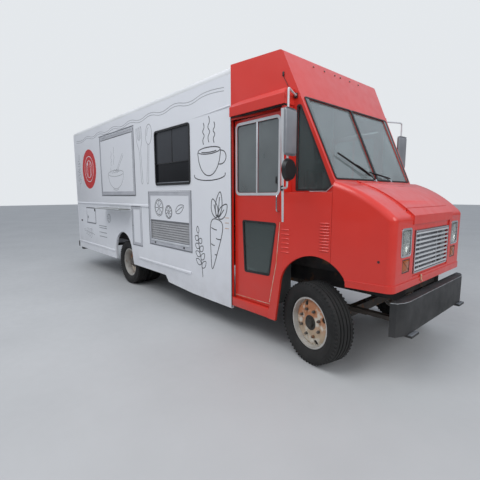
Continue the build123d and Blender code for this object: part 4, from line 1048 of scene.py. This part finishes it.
# %% Kitchen window
panes = (add_plate, side_frame(-2942, -2033, 2142, 2602, WALL_Y + 14), 18, 3, RIGHT)
built("window_gasket", "truck", RUBBER, grown_ring(WINDOW, 2, 52, 27, 5, WALL_Y - 7), soften=1.5)
built("window_upper_panes", "truck", UPPER_TINT, panes)
built("window_bars", "truck", BLACK, on_wall(-2944, -2031, 2132, 2146, -4, -14, 2),
      on_wall(-2494, -2476, 2140, 2604, -6, -14, 2))
built("window_sill", "truck", GREY_FRAME, on_wall(-2940, -2035, 1848, 1862, -2, -14, 2))
print("kitchen window made")

# %% [markdown]
# ## Shelf, moulding and side lamps
# The shelf's outer edge is rolled, and a hinge pin runs along the wall. A pressed moulding starts at the cab and
# fades out towards the rear. Low at the rear corner sits a red marker lamp on a black base.

# %% Shelf, moulding and side lamps
rolled = (add_rod, (-5058, -1290, 1424), (-3887, -1290, 1424), 6.5, 16)
pin = (add_rod, (-5056, -1076, 1418), (-3889, -1076, 1418), 5, 14)
moulding = (add_rod, (-1164, WALL_Y + 2, 2686), (-2040, WALL_Y + 2, 2656), 13, 16, 2)
built("shelf_rolled_edge", "serving_shelf", SILVER_FRAME, rolled, soften=0.8)
built("shelf_hinge_pin", "truck", GREY_FRAME, pin)
built("wall_mouldings", "truck", WRAP, moulding, both=True)
built("marker_bases", "truck", BLACK, on_wall(-6652, -6588, 1066, 1106, 7, 0, 3), both=True)
built("marker_lenses", "truck", DARK_LAMP, on_wall(-6646, -6594, 1071, 1101, 14, 5, 5, 3), both=True)
print("side lamps made")

# %% [markdown]
# ## Header above the windshield
# Small dark clearance lamps stand in a row near the header's top edge. On the cab's side a black clip holds a thin
# wire that runs down to the mirror's arm.

# %% Header details
WIRE = ((-466, 6, 2856), (-440, 7, 2805), (-415, 9, 2762), (-385, 12, 2705))
lamps = [(add_rod, before_screen(y, 3046, 0), before_screen(y, 3046, 9), 11, 20, 7)
         for y in (-470, -265, -58, 58, 265, 470)]
built("clearance_lamps", "truck", DARK_LAMP, *lamps, soften=1.5)
for side, sign in SIDES:
    y = sign * (cab_y(-467) + 4)
    built("wire_clip_" + side, "truck", BLACK, (-476, -458, y - sign * 8, y + sign * 8, 2852, 2896, 4))
    wire = [(x, sign * (cab_y(x) + out), z) for x, out, z in WIRE] + [(-336, sign * 930, 2668)]
    bent_rod("mirror_wire_" + side, wire, 2.6, "truck", BLACK)
print("header dressed")

# %% [markdown]
# ## Bumper
# A thin pale grey bar runs along the bumper's top edge, and treaded plates cover the two steps that stick out under
# it.

# %% Bumper edge bar and steps
half_edge = ((693, 860), (740, 841), (774, 769), (787, 699))
edge = [(x, -y, 759) for x, y in half_edge] + [(x, y, 759) for x, y in reversed(half_edge)]
# a pale grey bar that follows the bumper's top edge
bent_rod("bumper_pale_edge", edge, 3.4, "truck", PALE_EDGE, straight=True)
treads = []
for y0, y1 in ((-716, -564), (564, 716)):
    treads.append((792, 828, y0, y1, 463, 466, 1))
    treads += [(796, 824, y0 + 14 + k * 25, y0 + 20 + k * 25, 465, 468, 1) for k in range(6)]
built("bumper_step_treads", "truck", GREY_FRAME, *treads)
print("bumper dressed")

# %% [markdown]
# ## Rear end
# The rear isn't in the photograph. It gets what such a body has: two doors with a long lever each, a rubber seal,
# three hinge straps a side, round tail lamps with a chrome ring, a blank plate and small lamps along the top.

# %% Rear doors
REAR = -6888
LEVER = ((0, 1490), (30, 1490), (38, 1470), (38, 1330), (30, 1310), (0, 1310))
for side, sign in SIDES:
    body = "rear_door_" + side
    y = sign * 60
    seal = end_frame(REAR + 2, sign * 604, sign * 156, 1936, 2464)
    pane = end_frame(REAR + 13, sign * 590, sign * 170, 1950, 2450)
    built(body + "_edge", body, GREY_FRAME,
          (add_ring, end_frame(REAR, sign * 752, sign * 5, 648, 2872), 0, 26, 4, BACK), soften=1)
    built(body + "_gasket", body, RUBBER, (add_ring, seal, 40, 32, 8, BACK), soften=1.5)
    built(body + "_pane", body, TINTED, (add_plate, pane, 10, 2, BACK))
    built(body + "_straps", body, ALUMINIUM, *[
        (REAR, REAR - 7, sign * 742, sign * 560, z - 24, z + 24, 3) for z in (900, 1760, 2620)])
    bent_rod(body + "_handle", [(REAR - out, y, z) for out, z in LEVER], 9, body, CHROME)
    built(body + "_handle_plate", body, BLACK, (REAR, REAR - 5, y - 24, y + 24, 1290, 1510, 6))
print("rear doors dressed")

# %% Tail lamps and plate
spots = [(sign * 930, z) for z in (980, 830) for sign in (-1, 1)]
built("tail_lamp_rings", "truck", CHROME, *[
    (add_rod, (REAR + 1, y, z), (REAR - 12, y, z), 62, 40, 56) for y, z in spots], soften=2)
built("tail_lamp_lenses", "truck", RED_LAMP, *[
    (add_rod, (REAR - 8, y, z), (REAR - 22, y, z), 52, 40, 40) for y, z in spots], soften=5, steps=3)
built("top_rear_lamps", "truck", RED_LAMP, *[
    (REAR, REAR - 14, y - 42, y + 42, 2942, 2966, 5) for y in (-930, -110, 0, 110, 930)])
built("blank_plate", "truck", SILVER_FRAME, (REAR - 1, REAR - 4, -152, 152, 528, 680, 3))
built("plate_screws", "truck", IRON, *[(add_rod, (REAR - 3, y, 605), (REAR - 8, y, 605), 7, 12) for y in (-89, 89)])
built("rear_step_treads", "truck", GREY_FRAME, *[
    (-6990, -6900, y - 80, y + 80, 449, 453, 1.5) for y in range(-900, 901, 225)])
built("rear_corner_blocks", "truck", RUBBER, (-6998, -6896, -1046, -962, 428, 558, 8, 3), both=True)
print("rear lamps made")

# %% [markdown]
# ## Driver's place
# The steering wheel is a black ring on three spokes, turned about its sloping column. The ring is a small circle
# spun round. The dashboard has a binnacle with two dials that carry no marks that could be read.

# %% Steering wheel and dials
DRIVER_Y, COLUMN_TILT, RIM_R, GRIP_R, GRIP_SIDES = 450, -40, 0.216, 0.0135, 12
column = shift(at(-330, DRIVER_Y, 1640)) @ turned(COLUMN_TILT, "Y")
bm = bmesh.new()
rim = [bm.verts.new((RIM_R + GRIP_R * math.cos(a), 0, GRIP_R * math.sin(a)))
       for a in (FULL_TURN * k / GRIP_SIDES for k in range(GRIP_SIDES))]
circle = [bm.edges.new((rim[k], rim[(k + 1) % GRIP_SIDES])) for k in range(GRIP_SIDES)]
spin_round(bm, rim + circle, (0, 0, 1), 64)
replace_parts(piece("steering_rim", moved(bm, column), "truck", INSIDE), "steering_wheel")
spoke = shift((0.12, 0, -0.006)) @ sized(0.19, 0.026, 0.008)
spokes = [(add_cube, column @ (turned(angle, "Z") @ spoke)) for angle in (0, 120, 240)]
built("steering_spokes", "truck", INSIDE, *spokes, (add_drum, column, 0.045, 0.03, 32, 0.038),
      (add_drum, column @ shift((0, 0, -0.11)), 0.024, 0.2, 20), soften=2)
facings = [shift(at(-214, y, 1668)) @ turned(-62, "Y") for y in (DRIVER_Y - 80, DRIVER_Y + 80)]
built("dial_hoods", "truck", INSIDE, *[(add_drum, facing, 0.062, 0.03, 32, 0.056) for facing in facings], soften=2)
built("dial_faces", "truck", BLACK, *[(add_drum, facing, 0.048, 0.034) for facing in facings])
print("steering wheel made")

# %% [markdown]
# ## Driver's seat
# Seat and back are stuffed vinyl on a steel box. Each starts as a slightly smaller block, is remeshed and then blown
# up by a cloth simulation, so that its faces crown and its sides pull in between the corners. The stuffing holds
# every point within a set reach. The sewn channels and the piping come last, on the swollen form.

# %% Seat cushions
STUFFING, FRAMES = 0.022, 20


def swollen(name, bm):
    # a block of cloth under pressure, as a plain mesh whose points moved no farther than the stuffing lets them
    block = as_object(name + "_start", bm)
    voxels = block.modifiers.new("voxels", "REMESH")
    voxels.mode = "VOXEL"
    voxels.voxel_size = 0.006
    block.data = evaluated_mesh(block)
    block.modifiers.clear()
    start = [vert.co.copy() for vert in block.data.vertices]
    cloth = block.modifiers.new("stuffing", "CLOTH")
    cloth.settings.use_pressure = True
    cloth.settings.uniform_pressure_force = 4
    cloth.settings.effector_weights.gravity = 0
    cloth.point_cache.frame_start = 1
    cloth.point_cache.frame_end = FRAMES
    for number in range(1, FRAMES + 1):
        scene.frame_set(number)
    blown = evaluated_mesh(block)
    scene.frame_set(1)
    block.modifiers.clear()
    block.data = blown
    for vert, place in zip(blown.vertices, start):
        move = vert.co - place
        if move.length > 0:
            vert.co = place + move * STUFFING * math.tanh(move.length / STUFFING) / move.length
    soft = bmesh.new()
    soft.from_mesh(block.data)
    bpy.data.objects.remove(block)
    return soft


def press_channels(bm, spots, facing, deep=7, wide=8):
    # sewn channels: the face that looks along one axis is drawn in along straight lines
    for vert in bm.verts:
        if vert.normal[facing] > 0.4:
            nearest = min(abs(vert.co.y * 1000 - spot) for spot in spots)
            vert.co[facing] -= deep / 1000 * math.exp(-(nearest / wide) ** 2)


def piping(name, bm, axis, level):
    # a cord sewn into the seam that runs round a cushion at one level
    loop = bm.copy()
    normal = Vector([1 if k == axis else 0 for k in range(3)])
    bmesh.ops.bisect_plane(loop, geom=everything(loop), plane_co=normal * level, plane_no=normal,
                           clear_inner=True, clear_outer=True)
    first, second = [k for k in range(3) if k != axis]
    places = [vert.co.copy() for vert in loop.verts]
    loop.free()
    middle = sum(places, Vector()) / len(places)
    places.sort(key=lambda co: math.atan2(co[second] - middle[second], co[first] - middle[first]))
    points = [((co.x - TRUCK_AXLE) * 1000, co.y * 1000, co.z * 1000) for co in places[::5]]
    return bent_rod(name, points, 3.2, "truck", SEAT, closed=True)


seat_start, back_start = bmesh.new(), bmesh.new()
add_block(seat_start, -1056, -664, 244, 656, 1354, 1416, 24, 4)
add_block(back_start, -1096, -1044, 248, 652, 1466, 2034, 22, 4)
for vert in back_start.verts:
    # the back narrows towards its top
    middle = DRIVER_Y / 1000
    vert.co.y = middle + (vert.co.y - middle) * (1 - 0.16 * max(0, vert.co.z - 1.75) / 0.3)
for name, shape, facing, spots, levels in (
        ("seat_cushion", seat_start, 2, (350, 450, 550), (1.362, 1.408)),
        ("seat_back", back_start, 0, (360, 450, 540), (-1.088 + TRUCK_AXLE, -1.052 + TRUCK_AXLE))):
    soft = swollen(name, shape)
    soft.normal_update()
    press_channels(soft, spots, facing)
    for k, level in enumerate(levels):
        piping(name + "_piping_" + str(k + 1), soft, facing, level)
    made = piece(name, soft, "truck", SEAT, sharp=180)
    smooth = made.modifiers.new("smooth", "SUBSURF")
    smooth.levels = smooth.render_levels = 1
    print(name, "faces", len(made.data.polygons))
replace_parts(made, "driver_seat")
built("seat_frame", "truck", FRAME_PAINT, (-960, -760, 350, 550, 1040, 1312, 8, 3),
      (-1040, -680, 262, 292, 1312, 1326, 3), (-1040, -680, 608, 638, 1312, 1326, 3),
      (-1062, -660, 240, 660, 1326, 1338, 4),
      (-1108, -1096, 262, 278, 1338, 1900, 3), (-1108, -1050, 262, 278, 1326, 1344, 3),
      (-1108, -1096, 622, 638, 1338, 1900, 3), (-1108, -1050, 622, 638, 1326, 1344, 3),
      (-1112, -1107, 262, 638, 1480, 1985, 2))

built("seat_slide_lever", "truck", BLACK, (add_rod, (-700, 668, 1322), (-640, 668, 1322), 5, 14),
      (add_ball, shift(at(-640, 668, 1322)), 20, 10, 0.011))
print("seat made")

# %% [markdown]
# ## Drawings on the wrap
# The white body carries a drawn wrap: thin dark lines, paler towards the rear. The truck's own drawings and its
# round sign are left out. In their place stand plain kitchen motifs: a steaming cup, a carrot, sprigs, a fork and a
# spoon, a bowl of noodles, slices of citrus and a red plate. Each is a few curves in a small square of its own, laid
# on one panel, so that it moves with it.

# %% Strokes and motifs


def ring(x, z, reach_x, reach_z=None, count=10):
    turns = [FULL_TURN * k / count for k in range(count)]
    return [(x + reach_x * math.cos(a), z + (reach_z or reach_x) * math.sin(a)) for a in turns], True


def arc(x, z, reach_x, reach_z, start, end, count=9):
    turns = [math.radians(start + (end - start) * k / (count - 1)) for k in range(count)]
    return [(x + reach_x * math.cos(a), z + reach_z * math.sin(a)) for a in turns], False


def wave(x, z, run, swing, bends, rising=True):
    spots = [(swing * (-1) ** k * (0 < k < bends), run * k / bends) for k in range(bends + 1)]
    return [(x + a, z + b) if rising else (x + b, z + a) for a, b in spots], False


def leaf(x, z, length, width, turn):
    c, s = math.cos(math.radians(turn)), math.sin(math.radians(turn))
    shape = ((0, 0), (0.2, 0.42), (0.5, 0.55), (0.82, 0.3), (1, 0), (0.82, -0.3), (0.5, -0.55), (0.2, -0.42))
    return [(x + length * a * c - width * b * s, z + length * a * s + width * b * c) for a, b in shape], True


def line(*spots):
    return list(spots), False


def shape(*spots):
    return list(spots), True


def both_ways(*spots):
    return [line(*[(way * a, b) for a, b in spots]) for way in (-1, 1)]


print("strokes ready")

# %% Motifs
CUP = [ring(0, 0.3, 0.72, 0.13, 12), arc(0, 0.3, 0.72, 0.95, 182, 358, 11), arc(0.7, 0, 0.34, 0.26, -115, 95, 8),
       arc(0, -0.62, 1.0, 0.2, 165, 375, 11), arc(0, 0.28, 0.5, 0.05, 200, 340, 5),
       wave(-0.32, 0.55, 0.8, 0.09, 5), wave(0.02, 0.6, 0.95, 0.1, 5), wave(0.34, 0.55, 0.75, 0.09, 5)]
CARROT = [shape((0, -1), (-0.13, -0.45), (-0.3, 0.3), (-0.27, 0.62), (0, 0.68), (0.27, 0.62), (0.3, 0.3),
                (0.13, -0.45)),
          line((-0.24, 0.36), (-0.1, 0.33), (0.02, 0.35)), line((0.25, 0.12), (0.12, 0.08), (0.03, 0.1)),
          line((-0.18, -0.12), (-0.08, -0.15), (0, -0.13)), line((0.14, -0.38), (0.05, -0.4)),
          leaf(-0.04, 0.68, 0.62, 0.3, 118), leaf(0, 0.7, 0.8, 0.3, 90), leaf(0.05, 0.68, 0.6, 0.3, 58),
          line((0, 0.72), (0.01, 1.0), (0, 1.32)), line((-0.06, 0.74), (-0.22, 1.06)),
          line((0.07, 0.74), (0.25, 1.0))]
SPRIG = [line((0, -1), (0.06, -0.4), (-0.04, 0.2), (0.03, 0.82)), leaf(0.03, 0.8, 0.3, 0.16, 88)]
SPRIG += [leaf(x, z + 0.34 * k, 0.42 - 0.05 * k, 0.22, lean)
          for x, z, lean in ((0.02, -0.62, 38), (0, -0.48, 142)) for k in range(4)]
TINE = ((0.06, -1), (0.05, -0.3), (0.05, 0.2), (0.2, 0.42), (0.22, 0.62), (0.22, 1), (0.13, 1.0), (0.12, 0.62),
        (0.09, 0.55))
FORK = both_ways(*TINE)
FORK += [shape((-0.05, 0.58), (-0.045, 0.98), (0, 1.0), (0.045, 0.98), (0.05, 0.58), (0, 0.52)),
         arc(0, -1, 0.06, 0.09, 180, 360, 5)]
SPOON = [ring(0, 0.66, 0.24, 0.36, 12), arc(0, 0.68, 0.13, 0.22, 100, 200, 5),
         *both_ways((0.05, 0.32), (0.04, -0.3), (0.07, -1)), arc(0, -1, 0.07, 0.1, 180, 360, 5)]
BOWL = [ring(0, 0, 1, 0.16, 14), arc(0, 0, 1, 0.8, 184, 356, 13), arc(0, -0.78, 0.36, 0.1, 190, 350, 5),
        wave(-0.62, 0.02, 0.3, 0.05, 3), wave(-0.5, 0.06, 1.0, 0.07, 7, False), wave(-0.4, 0.16, 0.8, 0.06, 6, False),
        line((0.1, 0.1), (0.95, 0.95)), line((0.22, 0.07), (1.05, 0.86)),
        wave(-0.5, 0.4, 0.75, 0.09, 5), wave(-0.15, 0.45, 0.9, 0.09, 5)]
CITRUS = [ring(0, 0, reach, None, 14) for reach in (1, 0.84)]
CITRUS += [line(*[(r * math.cos(a), r * math.sin(a)) for r in (0.1, 0.45, 0.76)])
           for a in (math.pi * k / 4 for k in range(8))]
PLATE_RINGS = [ring(0, 0, reach, None, 14) for reach in (0.66, 0.44)]
LEAF = [leaf(0, 0, 1, 0.42, 0), line((0.05, 0), (0.5, 0.03), (0.85, 0))]


def placed(strokes, x, z, size, turn=0):
    c, s = math.cos(math.radians(turn)), math.sin(math.radians(turn))
    return [([(x + size * (a * c - b * s), z + size * (a * s + b * c)) for a, b in spots], closed)
            for spots, closed in strokes]


def ink(name, strokes, body, material, radius, sign=-1, lift=0.0):
    # strokes of a pen on the side wall, pressed to very flat ribbons
    wall = -WALL_Y / 1000
    bm = drawn([([(x, sign * -WALL_Y, z) for x, z in spots], closed) for spots, closed in strokes], radius, 1, 5)
    for vert in bm.verts:
        vert.co.y = sign * (wall + lift / 1000 + (sign * vert.co.y - wall) * 0.12)
    return piece(name, bm, body, material, sharp=60)


print("motifs ready")

# %% Drawings on the side walls
WALL_ART = (
    ("cup", CUP, -1590, 2125, 330, 0, INK, 7.5), ("carrot", CARROT, -1480, 1090, 430, -10, INK, 7.5),
    ("sprig_low", SPRIG, -1815, 900, 330, 10, INK, 6.5), ("fork", FORK, -3470, 2330, 440, 5, INK_SOFT, 7),
    ("spoon", SPOON, -3190, 2330, 440, -6, INK_SOFT, 7), ("sprig_rear", SPRIG, -6615, 2180, 380, -4, INK_SOFT, 6),
    ("sprig_flat", SPRIG, -6150, 830, 330, 84, INK_SOFT, 6), ("citrus_low", CITRUS, -4960, 1210, 90, 10, INK_SOFT, 5),
)
DISC_X, DISC_Z, DISC_R = -5950, 2235, 420
ribbon = [wave(-6700, z, 5420, 46, 15, False) for z in (2868, 2905)]
plate_lines = placed(PLATE_RINGS, DISC_X, DISC_Z, DISC_R)
cutlery = placed(FORK, DISC_X - 85, DISC_Z, 146) + placed(SPOON, DISC_X + 82, DISC_Z, 146)
for side, sign in SIDES:
    for name, strokes, x, z, size, turn, material, radius in WALL_ART:
        ink("art_" + name + "_" + side, placed(strokes, x, z, size, turn), "truck", material, radius, sign)
    ink("art_ribbon_" + side, ribbon, "truck", INK_SOFT, 5.5, sign)
    disc_place = shift(at(DISC_X, sign * -WALL_Y, DISC_Z)) @ turned(90, "X")
    built("art_plate_disc_" + side, "truck", ACCENT, (add_drum, disc_place, DISC_R / 1000, 0.0024, 96))
    ink("art_plate_lines_" + side, plate_lines, "truck", WRAP, 8, sign, 1.0)
    ink("art_plate_cutlery_" + side, cutlery, "truck", WRAP, 5, sign, 1.0)
ink("art_bowl", placed(BOWL, -4520, 2080, 360), "serving_hatch", INK_SOFT, 6)
slices = placed(CITRUS, -2900, 1480, 135) + placed(CITRUS, -2610, 1420, 100, 20)
ink("art_citrus", slices, "generator_door", INK, 5.5)
ink("art_leaf", placed(LEAF, -2420, 1420, 260, 24), "generator_door", INK, 5.5)
print("drawings made")

# %% [markdown]
# ## Floor under the truck
# A single pale sheet, far larger than the truck, catches the shadow, and no edge of it is seen.

# %% Stage
bm = bmesh.new()
bmesh.ops.create_grid(bm, x_segments=1, y_segments=1, size=60)
floor = as_object("pale_floor", bm)
floor.data.materials.append(finish("pale_concrete", (0.5, 0.51, 0.52), (0.46, 0.47, 0.48), (0.5, 0.7), 0.6, grain=30))
